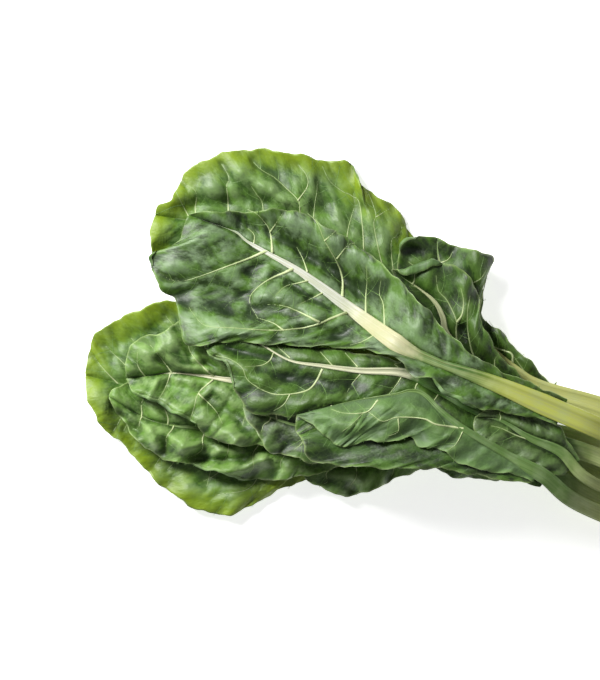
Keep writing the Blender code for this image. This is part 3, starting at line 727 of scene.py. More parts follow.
def half_heights(leaf, side, fall, plan, load):
    """Height over the midrib that half a blade would take, less where other leaves press on it."""
    t = np.linspace(0, 1, HALF_COLUMNS)
    width = np.linalg.norm(plan[:, -1] - plan[:, 0], axis=1)
    middle, margin = fall
    arch = (4 * middle - margin) * t + (2 * margin - 4 * middle) * t**2
    wave = 0.5 + 0.5 * np.sin(2 * np.pi * leaf.waves * row_shares() + leaf.phase * (1 + side))
    ruffle = leaf.ruffle * wave[:, None] * t**2
    return (width / width.max())[:, None] * (arch + ruffle / (1 + PRESSED * load))


def lift_clear(points, triangles, fixed, pile):
    """Raises the points of a sheet until every triangle of it clears the pile."""
    near = grown(pile.top, 1)
    for _ in range(LIFT_ROUNDS):
        samples, weights = filled(points[triangles], CELL)
        over = CLEAR + half_thickness(points[triangles])[:, None]
        short = near[pile.cells(samples)] + over - samples[..., 2]
        if short.max() <= 0:
            break
        share = weights[None] * np.where(fixed[triangles], 0.0, 1.0)[:, None]
        total = np.maximum((share**2).sum(-1, keepdims=True), LEAST_HOLD)
        push = np.maximum(short, 0)[..., None] * share / total
        lift = np.zeros(len(points))
        for corner in range(3):
            np.maximum.at(lift, triangles[:, corner], push[..., corner].max(1))
        points[:, 2] += lift


class Sheet:
    """The middle surface of one blade, and the line of its rib, both laid on the pile."""

    def __init__(self, leaf, pile):
        self.leaf, self.path, self.load = leaf, PATHS[leaf.name], LOADS[leaf.name]
        self.fine = np.arange(0, self.path.length, RIB_STEP)
        self.heights = rib_heights(leaf, self.path, pile, self.fine)
        blade = self.path.stalk_length + row_shares() * leaf.blade
        for last in [False] * SETTLE_ROUNDS + [True]:
            rib = self.rib_height(blade)
            if leaf.folded:
                self.left, lift = self.half(-1, rib - FOLD_DROP, pile, last)
                self.right, _ = self.half(1, rib, pile.topped_by(self.left), False)
            else:
                self.left, left_lift = self.half(-1, rib, pile, last)
                self.right, right_lift = self.half(1, rib, pile, last)
                lift = np.maximum(left_lift, right_lift)
            if lift.max() >= SETTLED or last:
                along = np.interp(self.fine, [blade[0] - STALK_BENDS_OVER, *blade], [0, *lift])
                self.heights = self.heights + stiffened(along, STALK_REACH / 2, self.fine[1])
        self.add_rib(pile)
        for grid in (self.left, self.right):
            pile.add_sheet(grid)

    def rib_height(self, distance):
        return np.interp(distance, self.fine, self.heights)

    def half(self, side, rib, pile, last):
        """One half, and how much more its inner edge would have to rise at each row."""
        leaf = self.leaf
        margin, fall = (leaf.left, leaf.left_fall) if side < 0 else (leaf.right, leaf.right_fall)
        plan = half_plan(leaf, self.path, side, margin)
        cells = pile.cells(plan)
        z = rib[:, None] + half_heights(leaf, side, fall, plan, self.load[cells])
        floor = pile.draped(DRAPE_REACH)[cells] + CLEAR + BLADE_THICK / 2
        z[:, 1:] = soft_max(z[:, 1:], floor[:, 1:], DRAPE_SOFTNESS)
        points = np.concatenate([plan, z[..., None]], axis=-1).reshape(-1, 3)
        fixed = np.zeros(z.shape, bool)
        fixed[:, 0] = last
        lift_clear(points, grid_triangles(*z.shape), fixed.ravel(), pile)
        grid = points.reshape(*z.shape, 3)
        return grid, grid[:, 0, 2] - rib

    def add_rib(self, pile):
        distance = np.arange(0, self.path.length, CELL / 2)
        half = rib_width(self.leaf, (distance - self.path.stalk_length) / self.leaf.blade) / 2
        centre, _, out = self.path.frame(distance)
        top = self.rib_height(distance)[:, None] + RIB_CROWN
        for step in np.linspace(-1, 1, RIB_STRIPS):
            pile.add(np.concatenate([centre + out * (step * half)[:, None], top], axis=-1))


coarse_pile = Pile()
SHEETS = {leaf.name: Sheet(leaf, coarse_pile) for leaf in LEAVES}
print("height of the pile in mm:", round(float(coarse_pile.top.max()), 1))

# %% [markdown]
# ## From a coarse sheet to a fine one
# The coarse grid has only the big shapes. A fine grid with cells of 1.5 mm is laid through it, with its
# outer edge on the true margin, a little crimped as a torn or grown edge is. All the small relief is
# added to this grid as heights, so it stays a single sheet without holes.

# %% The fine grid of half a blade
FINE = 1.5  # size of a fine cell
TIP_SHARE = 0.998
CRIMPS = ((31.0, 0.8), (17.0, 0.45), (9.0, 0.22))  # length and size of the waves along a margin
RIB_OVERLAP = 0.8  # how far the blade reaches into the rib
RIB_FITS = {  # how a midrib seen in the picture differs from the plain taper: shares and factors
    "folded": ((0.0, 0.12), (1.0, 0.55)),
    "centre": ((0.1, 0.34, 0.7), (1.0, 0.66, 0.45)),
    "main": ((0.05, 0.2, 0.3, 0.36, 0.42, 0.8), (1.0, 0.75, 0.5, 0.7, 1.3, 1.25)),
}
CRIMPS_FADE = 20.0  # length in which they fade at both ends of a margin
LEAST_COLUMNS = 12
BROAD_ROWS = 80  # the percentile of row widths that sets the number of columns


def rib_fit(leaf, shares):
    """How much of its plain width a midrib keeps, place by place."""
    return np.interp(shares, *RIB_FITS.get(leaf.name, ((0, 1), (1, 1))))


def fine_rows(leaf):
    shares = np.linspace(0, TIP_SHARE, int(leaf.blade / FINE))
    return shares, BLADE_ROWS * (1 - (1 - shares) ** (1 / TIP_CROWDING))


def crimped(line, along, rng):
    """A margin with small waves in its plane, fading at both ends."""
    ahead = np.gradient(line, axis=0)
    aside = np.stack([ahead[:, 1], -ahead[:, 0]], axis=1) / np.linalg.norm(ahead, axis=1, keepdims=True)
    turns = [(2 * np.pi * along / length + rng.uniform(0, 6), size) for length, size in CRIMPS]
    wave = sum(size * np.sin(turn) for turn, size in turns)
    ends = np.clip(np.minimum(along, along[-1] - along) / CRIMPS_FADE, 0, 1)
    return line + aside * (wave * ends)[:, None]


class Half:
    """Half a blade as a fine grid, with what its relief and colours need to know of each point."""

    def __init__(self, sheet, side):
        leaf, path = sheet.leaf, sheet.path
        self.side, self.turned = side, leaf.folded and side > 0
        margin, coarse = (leaf.left, sheet.left) if side < 0 else (leaf.right, sheet.right)
        rng = np.random.default_rng(len(leaf.name) * 7 + side)
        line, along, reached = margin_reached(leaf, path, side, margin)
        shares, at = fine_rows(leaf)
        fine_reached = np.maximum.accumulate(spline(np.append(reached, along[-1]), at))
        outer = read_line(crimped(line, along, rng), along, fine_reached)
        slim = (1 - rib_fit(leaf, shares)) * rib_width(leaf, shares) / 2
        inner, heading, _ = across(leaf, path, side, shares, -RIB_OVERLAP - slim)
        width = np.linalg.norm(outer - inner, axis=1)
        columns = max(LEAST_COLUMNS, int(np.percentile(width, BROAD_ROWS) / FINE))
        self.plan = rows_between(inner, heading, outer, columns)
        table = np.vstack([coarse[..., 2], np.full(HALF_COLUMNS, coarse[-1, 0, 2])])
        rows = spline(table, at)
        self.z = spline(rows.T, np.linspace(0, HALF_COLUMNS - 1, columns)).T
        self.shares = shares
        self.t = np.linspace(0, 1, columns)
        self.from_rib = width[:, None] * self.t
        self.margin_line, self.along_margin = outer, np.repeat(fine_reached[:, None], columns, 1)
        self.inner_edge = inner


halves = {leaf.name: [Half(SHEETS[leaf.name], side) for side in (-1, 1)] for leaf in LEAVES}
print("fine points:", sum(half.z.size for pair in halves.values() for half in pair))

# %% [markdown]
# ## Veins
# Strong side veins leave the midrib, and thinner ones branch from them until they meet another. A branch
# is grown in short steps: it bends a little at each, stops at the margin and joins any vein it comes
# close to. Where a vein was drawn, the ruled ones nearby are left out.

# %% Growing the veins of half a blade
SIDE_VEINS_APART = 26.0  # along the midrib
DRAWN_KEEPS_CLEAR = 10.0
BRANCHES_APART = 16.0
BRANCH_LENGTH = 26.0
TWIGS_APART = 20.0
TWIG_LENGTH = 9.0
BARE_BASE = {"main": 1.0, "folded": 0.6, "centre": 0.2, "side_right": 0.6}  # without ruled veins
WANDER = 0.018  # of the blade's length, at the end of a ruled vein
FIRST_BRANCH, NEXT_BRANCH, LAST_BRANCH = (0.4, 1.0), (0.75, 1.3), 0.3  # as shares of their distance
BRANCH_GROWS = (0.6, 1.1)  # shares of the longest
BRANCH_ANGLE = (0.8, 1.15)  # to the parent, in radians
BRANCH_BENDS, BRANCH_WAVERS = 0.05, 0.07
JOINS_WITHIN = 1.6
LEAVES_BLADE_AT = 1.3 * FINE  # a vein stops when it is this far from the blade's points


def tree_of(points):
    tree = kdtree.KDTree(len(points))
    for k, p in enumerate(points):
        tree.insert((p[0], p[1], 0.0), k)
    tree.balance()
    return tree


def distance_to(tree, plan):
    flat = plan.reshape(-1, 2)
    return np.array([tree.find((x, y, 0.0))[2] for x, y in flat]).reshape(plan.shape[:-1])


def four_way(a, b, c, d, u, v):
    """A value between four corners."""
    return (a * (1 - u) + b * u) * (1 - v) + (c * (1 - u) + d * u) * v


def ruled_side_veins(leaf, half, rng):
    """Side veins that follow the rows of the grid, with a slight wander."""
    count = max(3, int(leaf.blade / SIDE_VEINS_APART))
    rows, columns = half.z.shape
    veins, p = [], half.plan
    for k in range(count):
        start = (k + 0.35 + rng.uniform(0, 0.3)) / count * VEINS_END_AT
        t = np.linspace(0, rng.uniform(0.8, 0.94), 24)
        wander = WANDER * np.sin(2 * np.pi * (t * rng.uniform(0.8, 1.6) + rng.uniform())) * t
        row = np.clip((start + wander) / TIP_SHARE, 0, 1) * (rows - 1)
        column = t * (columns - 1)
        i, j = np.floor(row).astype(int), np.floor(column).astype(int)
        i2, j2 = np.minimum(i + 1, rows - 1), np.minimum(j + 1, columns - 1)
        if start > BARE_BASE.get(leaf.name, 0.0):
            u, v = (row - i)[:, None], (column - j)[:, None]
            veins.append(four_way(p[i, j], p[i2, j], p[i, j2], p[i2, j2], u, v))
    return [drawn(vein[:: max(1, len(vein) // 8)]) for vein in veins]


def branches(parents, inside, rng, apart, longest, one_side=0):
    """Thin veins that grow from both sides of thicker ones until they meet something."""
    points = np.concatenate(parents)
    taken = tree_of(points)
    owner = np.repeat(np.arange(len(parents)), [len(p) for p in parents])
    made = []
    for which, parent in enumerate(parents):
        sides = [one_side] if one_side and which == len(parents) - 1 else [-1, 1]
        for side in sides:
            at = rng.uniform(*FIRST_BRANCH) * apart
            length = (len(parent) - 1) * STEP
            while at < length - LAST_BRANCH * apart:
                k = int(at / STEP)
                tangent = parent[min(k + 1, len(parent) - 1)] - parent[max(k - 1, 0)]
                angle = np.arctan2(tangent[1], tangent[0]) + side * rng.uniform(*BRANCH_ANGLE)
                bend = -side * rng.uniform(0.0, BRANCH_BENDS)
                line = [parent[k]]
                for _ in range(int(longest * rng.uniform(*BRANCH_GROWS) / STEP)):
                    angle += bend + rng.normal(0, BRANCH_WAVERS)
                    p = line[-1] + STEP * np.array([np.cos(angle), np.sin(angle)])
                    if inside.find((p[0], p[1], 0.0))[2] > LEAVES_BLADE_AT:
                        break
                    spot, index, gap = taken.find((p[0], p[1], 0.0))
                    line.append(p)
                    if len(line) > 4 and gap < JOINS_WITHIN and owner[index] != which:
                        line.append(np.array(spot[:2]))
                        break
                if len(line) > 3:
                    made.append(np.array(line))
                at += apart * rng.uniform(*NEXT_BRANCH)
    return made


def grow_veins(leaf, half):
    rng = np.random.default_rng(sum(map(ord, leaf.name)) + half.side)
    inside = tree_of(half.plan.reshape(-1, 2))
    strong = [drawn(points) for points in VEINS.get((leaf.name, half.side), ())]
    ruled = ruled_side_veins(leaf, half, rng)
    if strong:
        near = tree_of(np.concatenate(strong))
        ruled = [v for v in ruled if np.median(distance_to(near, v)) > DRAWN_KEEPS_CLEAR]
    half.strong = strong + ruled
    rib = half.inner_edge[:: max(1, int(STEP / (leaf.blade / len(half.shares))))]
    outward = -1 if (half.side < 0 or leaf.folded) else 1
    half.thin = branches([*half.strong, rib], inside, rng, BRANCHES_APART, BRANCH_LENGTH, outward)
    half.twigs = branches(half.thin, inside, rng, TWIGS_APART, TWIG_LENGTH) if half.thin else []
    half.from_strong = distance_to(tree_of(np.concatenate(half.strong)), half.plan)
    half.from_thin = distance_to(tree_of(np.concatenate([*half.strong, *half.thin])), half.plan)
    half.from_edge = distance_to(tree_of(half.margin_line), half.plan)


for leaf in LEAVES:
    for half in halves[leaf.name]:
        grow_veins(leaf, half)
every_half = [half for pair in halves.values() for half in pair]
print("veins:", sum(len(h.strong) + len(h.thin) + len(h.twigs) for h in every_half))

# %% [markdown]
# ## Relief
# Chard is quilted: the blade between the veins grows faster than they do, so it domes up, and the veins
# lie in valleys. On the turned half its underside shows, and there the veins stand up instead. Margins
# outgrow everything and ripple. Where other leaves press, all of it is nearly flat.

# %% Domes, valleys, ripples and folds
DOME = 4.6  # height between strong veins
DOME_REACH = 8.0
QUILT = 0.7  # height between thin ones
QUILT_REACH = 3.5
DOMES_VARY = 26.0  # distance over which they are higher and lower
SWELL, SWELL_CELL = 3.0, 24.0  # height and size of the slow unevenness
CREASE, CREASE_CELLS = 2.6, (14.0, 7.0)  # of the sharp crests between hollows
PLEAT_SQUEEZE = 0.4  # width of a crease as a share of its length, which runs along the rows
RIPPLE = 1.5  # height of a margin's ripples
RIPPLE_LENGTH, RIPPLES_DRIFT = 23.0, 30.0
RIPPLE_REACH = 7.0
OLD_RIPPLE = 0.45  # of that, on the smooth margins of the old outer leaves
FLATTENED = 4.0  # how strongly leaves above flatten the relief
CRUMPLED = {
    "lower_left": 1.5, "inner_left": 1.4, "low_centre": 1.5,
    "centre": 0.8, "fore_right": 0.6, "main": 0.9,
}
TURNED_DOMES = -0.6  # seen from beneath, a dome is a hollow
INSIDE_FOLD = 0.4  # of its relief, on the half that a folded leaf lies on
RIB_FLATTENS = 5.0  # reach from the rib


def lattice_noise(points, cell, seed):
    """Smooth noise from -1 to 1 over the plan."""
    table = np.random.default_rng(seed).uniform(-1, 1, (256, 256))
    turn = np.array([[np.cos(seed), -np.sin(seed)], [np.sin(seed), np.cos(seed)]])
    p = points @ turn / cell + 1000.5
    base = np.floor(p).astype(int)
    u = p - base
    u = u * u * (3 - 2 * u)
    i, j = base[..., 0] % 256, base[..., 1] % 256
    i2, j2 = (i + 1) % 256, (j + 1) % 256
    return four_way(table[i, j], table[i2, j], table[i, j2], table[i2, j2], u[..., 0], u[..., 1])


def relief(leaf, half, load):
    seed = sum(map(ord, leaf.name)) * 3 + half.side
    press = 1 / (1 + FLATTENED * load)
    dome = DOME * (1 - np.exp(-half.from_strong / DOME_REACH))
    dome = dome * (0.75 + 0.5 * lattice_noise(half.plan, DOMES_VARY, seed))
    quilt = QUILT * (1 - np.exp(-half.from_thin / QUILT_REACH))
    swell = SWELL * lattice_noise(half.plan, SWELL_CELL, seed + 1)
    along = np.repeat(half.shares[:, None] * leaf.blade, half.z.shape[1], axis=1)
    pleats = np.stack([along, half.from_rib * PLEAT_SQUEEZE], axis=-1)
    swell = swell + CREASE * (0.5 - np.abs(lattice_noise(pleats, CREASE_CELLS[0], seed + 2)))
    swell = swell + 0.5 * CREASE * np.abs(lattice_noise(pleats, CREASE_CELLS[1], seed + 4))
    edge = np.exp(-half.from_edge / RIPPLE_REACH)
    drift = 3 * lattice_noise(half.plan, RIPPLES_DRIFT, seed + 3)
    turn = 2 * np.pi * half.along_margin / RIPPLE_LENGTH + drift
    age = OLD_RIPPLE if leaf.colour == "yellow_edged" else 1.0
    ripple = RIPPLE * age * edge * np.sin(turn)
    height = (TURNED_DOMES if half.turned else 1.0) * (dome + quilt) + swell + ripple
    height = height * CRUMPLED.get(leaf.name, 1.0)
    if leaf.folded and not half.turned:
        height = INSIDE_FOLD * height
    for line, size, reach in FOLDS.get(leaf.name, ()):
        away = distance_to(tree_of(drawn(line)), half.plan)
        height = height + size * np.exp(-((away / reach) ** 2))
    return height * press * (1 - np.exp(-half.from_rib / RIB_FLATTENS))


# %% [markdown]
# ## Settling the fine leaves
# The relief pokes into the leaf below, so the pile is laid a second time with a finer map. Each sheet is
# lifted as one smooth surface, its two halves and its rib together, until it clears what lies under it.

# %% Laying the fine leaves
CREST_REACH = 7  # in fine cells
CREST_HEIGHT = 1.3
FINE_CELL = 1.5
FINE_CLEAR = 0.25
LIFT_GROWS = 3  # cells by which a lift spreads
LIFT_TRIES = 3
RIB_GIVES = 10.0  # length over which a rib's last lift is spread
LIFTED_ENOUGH = 0.02
JOINT_REACH = 4.0  # from the rib, in which a blade bends to meet it
TURNED_JOINT = 0.5  # height of a turned half over the rib's side
RIB_SINKS = 0.28  # of the rib's depth: where the blade joins the rib's side
fine_pile = Pile(FINE_CELL)
fine_pile.top[:] = -FINE_CLEAR


def lifted(grid, pile):
    """Extra height for a sheet so that it clears the pile."""
    near = grown(pile.top, 1)
    total = np.zeros(grid.shape[:2])
    for _ in range(LIFT_TRIES):
        short = near[pile.cells(grid)] + FINE_CLEAR + BLADE_THICK / 2 - grid[..., 2] - total
        short = np.maximum(short, 0)
        if short.max() < LIFTED_ENOUGH:
            break
        total += softened(grown(short, LIFT_GROWS), LIFT_GROWS)
    return total


def rib_lacks(sheet, pile):
    """How much the rib itself is short of clear along its own fine line."""
    leaf = sheet.leaf
    distance = sheet.fine
    share = (distance - sheet.path.stalk_length) / leaf.blade
    centre, _, out = sheet.path.frame(distance)
    near = grown(pile.top, 1)
    worst = np.zeros(len(distance))
    for step in (-0.8, -0.4, 0.0, 0.4, 0.8):
        below = near[pile.cells(centre + out * (step * rib_width(leaf, share) / 2)[:, None])]
        keel = rib_depth(leaf, share) * (1 - 0.5 * abs(step))
        worst = np.maximum(worst, below + FINE_CLEAR + keel - sheet.heights)
    return stiffened(worst, RIB_GIVES, distance[1])


# The skin reads this as a mask: a painted highlight on the crests and painted shade in the hollows.
def crests(grid):
    """How far each point stands over (+1) or lies under (-1) the mean height around it."""
    return np.clip((grid[..., 2] - softened(grid[..., 2], CREST_REACH)) / CREST_HEIGHT, -1, 1)


def settle(leaf):
    sheet, (left, right) = SHEETS[leaf.name], halves[leaf.name]
    sheet.heights = sheet.heights + rib_lacks(sheet, fine_pile)
    distance = sheet.path.stalk_length + left.shares * leaf.blade
    for half in (left, right):
        half.z = half.z + relief(leaf, half, sheet.load[coarse_pile.cells(half.plan)])
        joint = sheet.rib_height(distance) - RIB_SINKS * rib_depth(leaf, left.shares)
        if leaf.folded:
            joint = joint + (TURNED_JOINT if half.turned else -FOLD_DROP)
        half.z = half.z + (joint - half.z[:, 0])[:, None] * np.exp(-half.from_rib / JOINT_REACH)
        half.grid = np.concatenate([half.plan, half.z[..., None]], axis=-1)
    if leaf.folded:
        left.grid[..., 2] += lifted(left.grid, fine_pile)
        fine_pile.add(left.grid.reshape(-1, 3) + (0, 0, BLADE_THICK / 2))
        right.grid[..., 2] += lifted(right.grid, fine_pile)
        extra = np.maximum(left.grid[:, 0, 2] + FOLD_DROP, right.grid[:, 0, 2] - TURNED_JOINT) - joint
        left.crest, right.crest = crests(left.grid), crests(right.grid)
    else:
        whole = np.concatenate([left.grid[:, ::-1], right.grid], axis=1)
        lift = lifted(whole, fine_pile)
        columns = left.grid.shape[1]
        left.grid[..., 2] += lift[:, :columns][:, ::-1]
        right.grid[..., 2] += lift[:, columns:]
        extra = lift[:, columns - 1 : columns + 1].mean(axis=1)
        whole[..., 2] += lift
        crest = crests(whole)
        left.crest, right.crest = crest[:, :columns][:, ::-1], crest[:, columns:]
    along = np.interp(sheet.fine, [distance[0] - STALK_BENDS_OVER, *distance], [0, *extra])
    sheet.heights = sheet.heights + along
    for half in (left, right):
        fine_pile.add(half.grid.reshape(-1, 3) + (0, 0, BLADE_THICK / 2))
    sheet.add_rib(fine_pile)
    return float(max(half.grid[..., 2].max() for half in (left, right)))


for leaf in LEAVES:
    print(leaf.name, "reaches", round(settle(leaf), 1), "mm")

# %% [markdown]
# ## Rolled margins
# In places a margin rolls up and over, and the paler underside shows. The last part of each row there is
# bent round a small circle and laid back, and the rest of the row is drawn in by as much, so the outline
# stays where it was. Each roll is given by its middle, its half-length, its radius and the flap that it
# ends in.

# %% Rolling the margins
CURLS = {
    ("fore_right", 1): (((20, 56), 18, 2.2, 5.5),),
    ("back_top", 1): (((-31, 128), 10, 1.2, 3.5),),
    ("back_right", -1): (((9, 74), 9, 2.2, 1.0),),
    ("centre", -1): (((-136, -26), 20, 0.8, 1.2),),
    ("main", -1): (((46, -50), 22, 1.1, 2.4), ((-197, 60), 8, 1.0, 1.6)),
    ("lower_left", -1): (((-140, -112), 30, 0.9, 1.4),),
    ("inner_left", -1): (((-186, -58), 32, 1.0, 1.8),),
}
ROLLED_SHARE = 0.22  # of a row's points that go into the roll
LEAST_ROLL = 0.08  # of its full size, where a roll runs out
FAR_AWAY = 9999.0  # a place in plan where no vein looks for the surface


def rolled_row(row, t, radius, flap, start):
    """One row of surface points with its end rolled over."""
    out = row[-1] - row[-4]
    out[2] = 0
    out /= np.linalg.norm(out)
    drawn_in = np.minimum(t / start, 1)
    flat = read_line(row, t, drawn_in) - out * (radius * drawn_in**4)[:, None]
    around = np.clip((t - start) / (1 - start), 0, 1) * (np.pi * radius + flap)
    angle = np.minimum(around / radius, np.pi)
    ahead = radius * np.sin(angle) - np.maximum(around - np.pi * radius, 0)
    rolled = row[-1] - out * radius + out * ahead[:, None]
    rolled[:, 2] = row[-1, 2] + radius * (1 - np.cos(angle))
    return np.where((t <= start)[:, None], flat, rolled), around


def roll_margins(leaf, half):
    for middle, length, radius, flap in CURLS.get((leaf.name, half.side), ()):
        away = np.linalg.norm(half.margin_line - middle, axis=1)
        window = np.sqrt(np.clip(1 - (away / length) ** 2, 0, 1))
        for k in np.nonzero(window > LEAST_ROLL)[0]:
            start = 1 - ROLLED_SHARE * window[k]
            r, f = radius * window[k], flap * window[k]
            half.grid[k], around = rolled_row(half.grid[k].copy(), half.t, r, f, start)
            old_t = np.minimum(half.t / start, 1)
            for values in (half.from_edge, half.from_strong, half.from_thin, half.crest, half.from_rib):
                values[k] = np.interp(old_t, half.t, values[k])
            in_roll = half.t > start
            half.from_edge[k, in_roll] = (np.pi * r + f - around)[in_roll]
            half.plan[k] = half.grid[k, :, :2]
            half.plan[k, in_roll] = FAR_AWAY


for leaf in LEAVES:
    for half in halves[leaf.name]:
        roll_margins(leaf, half)
print("rolled margins:", sum(map(len, CURLS.values())))

# %% [markdown]
# ## One closed shell for each blade
# A blade needs a top and an underside of its own, because they differ in colour. The sheet is offset both
# ways along its normals and the rim is stitched. It thins towards the margin, as the real one does.
# Distances to the rib, the veins and the edge go along as attributes for the material to read.

# %% Making the blades
EDGE_THINS = 0.45
THIN_REACH = 2.5  # from the margin
SCALE_UV = 0.1  # the UV map is in centimetres


def sheet_normals(grid):
    normal = np.cross(np.gradient(grid, axis=0), np.gradient(grid, axis=1))
    normal = normal / np.maximum(np.linalg.norm(normal, axis=-1, keepdims=True), 1e-9)
    return normal if normal[..., 2].mean() > 0 else -normal


def shell(grid, normals, half_thick):
    """Points and quads of a closed shell round a grid, with its top first."""
    rows, columns = grid.shape[:2]
    count = rows * columns
    offset = normals * half_thick[..., None]
    points = np.concatenate([(grid + offset).reshape(-1, 3), (grid - offset).reshape(-1, 3)])
    i, j = np.meshgrid(np.arange(rows - 1), np.arange(columns - 1), indexing="ij")
    a = (i * columns + j).ravel()
    top = np.stack([a, a + 1, a + columns + 1, a + columns], axis=1)
    first = grid.reshape(-1, 3)[top[len(top) // 2]]
    if np.cross(first[1] - first[0], first[3] - first[0])[2] < 0:
        top = top[:, ::-1]
    ring = np.concatenate([
        np.arange(columns - 1), np.arange(columns - 1, count - 1, columns),
        np.arange(count - 1, count - columns, -1), np.arange(count - columns, 0, -columns),
    ])
    after = np.roll(ring, -1)
    rim = np.stack([ring, ring + count, after + count, after], axis=1)
    if top[0][1] != 1:
        rim = rim[:, ::-1]
    return points, np.concatenate([top, top[:, ::-1] + count, rim])


def make_mesh(name, points, faces, attributes, uv=None, edges=()):
    """A mesh in metres, with values at its points and, if it has faces, a map."""
    mesh = bpy.data.meshes.new(name)
    mesh.from_pydata(((points - (*PLAN_CENTRE, 0)) * MM).tolist(), edges, faces)
    for key, values in attributes.items():
        mesh.attributes.new(key, "FLOAT", "POINT").data.foreach_set("value", values.astype(np.float32))
    if uv is not None:
        layer = mesh.uv_layers.new(name="surface")
        loops = np.zeros(len(mesh.loops), np.int32)
        mesh.loops.foreach_get("vertex_index", loops)
        layer.data.foreach_set("uv", uv[loops].astype(np.float32).ravel())
        mesh.shade_smooth()
    return mesh


def place(name, mesh):
    made = bpy.data.objects.new(name, mesh)
    bpy.context.scene.collection.objects.link(made)
    return made


def blade_shells(leaf, pair):
    """Every closed shell of a blade: one, or two where it is folded."""
    groups = [[half] for half in pair] if leaf.folded else [pair]
    for group in groups:
        def table(value):
            """A value of the whole group, from the left margin to the right one."""
            tables = [value(half) for half in group]
            return np.concatenate([tables[0][:, ::-1], tables[1]], axis=1) if tables[1:] else tables[0]

        grid = table(lambda h: h.grid)
        edge = table(lambda h: h.from_edge)
        thick = BLADE_THICK / 2 * (1 - EDGE_THINS * np.exp(-edge / THIN_REACH))
        points, faces = shell(grid, sheet_normals(grid), thick)
        aside = table(lambda h: h.side * h.from_rib)
        along = table(lambda h: np.repeat(h.shares[:, None] * leaf.blade, h.z.shape[1], 1))
        twice = {
            "from_edge": edge, "from_vein": table(lambda h: h.from_strong),
            "from_thin": table(lambda h: h.from_thin), "crest": table(lambda h: h.crest),
        }
        attributes = {key: np.tile(values.ravel(), 2) for key, values in twice.items()}
        under = np.repeat([float(group[0].turned), float(not group[0].turned)], grid[..., 0].size)
        attributes["underside"] = under
        uv = np.tile(np.stack([along, aside], axis=-1).reshape(-1, 2) * SCALE_UV, (2, 1))
        yield points, faces, attributes, uv


def make_blade(leaf):
    parts, base = [], 0
    for points, faces, attributes, uv in blade_shells(leaf, halves[leaf.name]):
        parts.append((points, faces + base, uv, attributes))
        base += len(points)
    points, faces, uv = (np.concatenate([part[k] for part in parts]) for k in range(3))
    merged = {key: np.concatenate([part[3][key] for part in parts]) for key in parts[0][3]}
    name = f"{leaf.name}_leaf"
    return place(name, make_mesh(name, points, faces.tolist(), merged, uv))


BLADES = {leaf.name: make_blade(leaf) for leaf in LEAVES}
print("faces of the blades:", sum(len(blade.data.polygons) for blade in BLADES.values()))

# %% [markdown]
# ## Stalks and midribs
# A stalk is fleshy: flat and finely grooved on top, and rounded below. It tapers all the way up the
# blade. One section with many points is swept along the rib's line. The grooves are part of the section,
# so they run the whole length and narrow with it.

# %% Making the stalks
STALK_STEP = 3.0
SECTION_POINTS = 36
GROOVES = 7
GROOVE_DEPTH = 0.022  # of the stalk's width
CROWN = 0.24
CHANNEL, CHANNEL_WIDE = 0.16, 0.45  # the wide hollow along the top
SITS_LOW = 0.05
RIB_STOPS = 0.985  # of the blade's length
TIP_FROM, TIP_LENGTH, TIP_SLIMS = 0.9, 0.085, 0.7
SWAY = ((31, 0.25), (11, 0.12))  # lengths and sizes of the changes in width
SWAY_SHARE = 0.02
CUT_REACH = 4.0  # from the cut end, that is paler


def stalk_section(width, depth):
    """Cross-section, from one side over the top and back under."""
    angle = np.linspace(0, 2 * np.pi, SECTION_POINTS, endpoint=False)
    c, s = np.cos(angle), np.sin(angle)
    x = width / 2 * np.sign(c) * np.abs(c) ** 0.75
    grooves = GROOVE_DEPTH * width * np.cos(GROOVES * np.pi * x / width) * s
    channel = CHANNEL * depth * np.exp(-((2 * x / width) / CHANNEL_WIDE) ** 2) * s
    above = CROWN * depth * (np.abs(s) ** 0.6) + grooves - channel
    return x, np.where(s >= 0, above, -depth * np.abs(s) ** 0.8) - SITS_LOW * depth


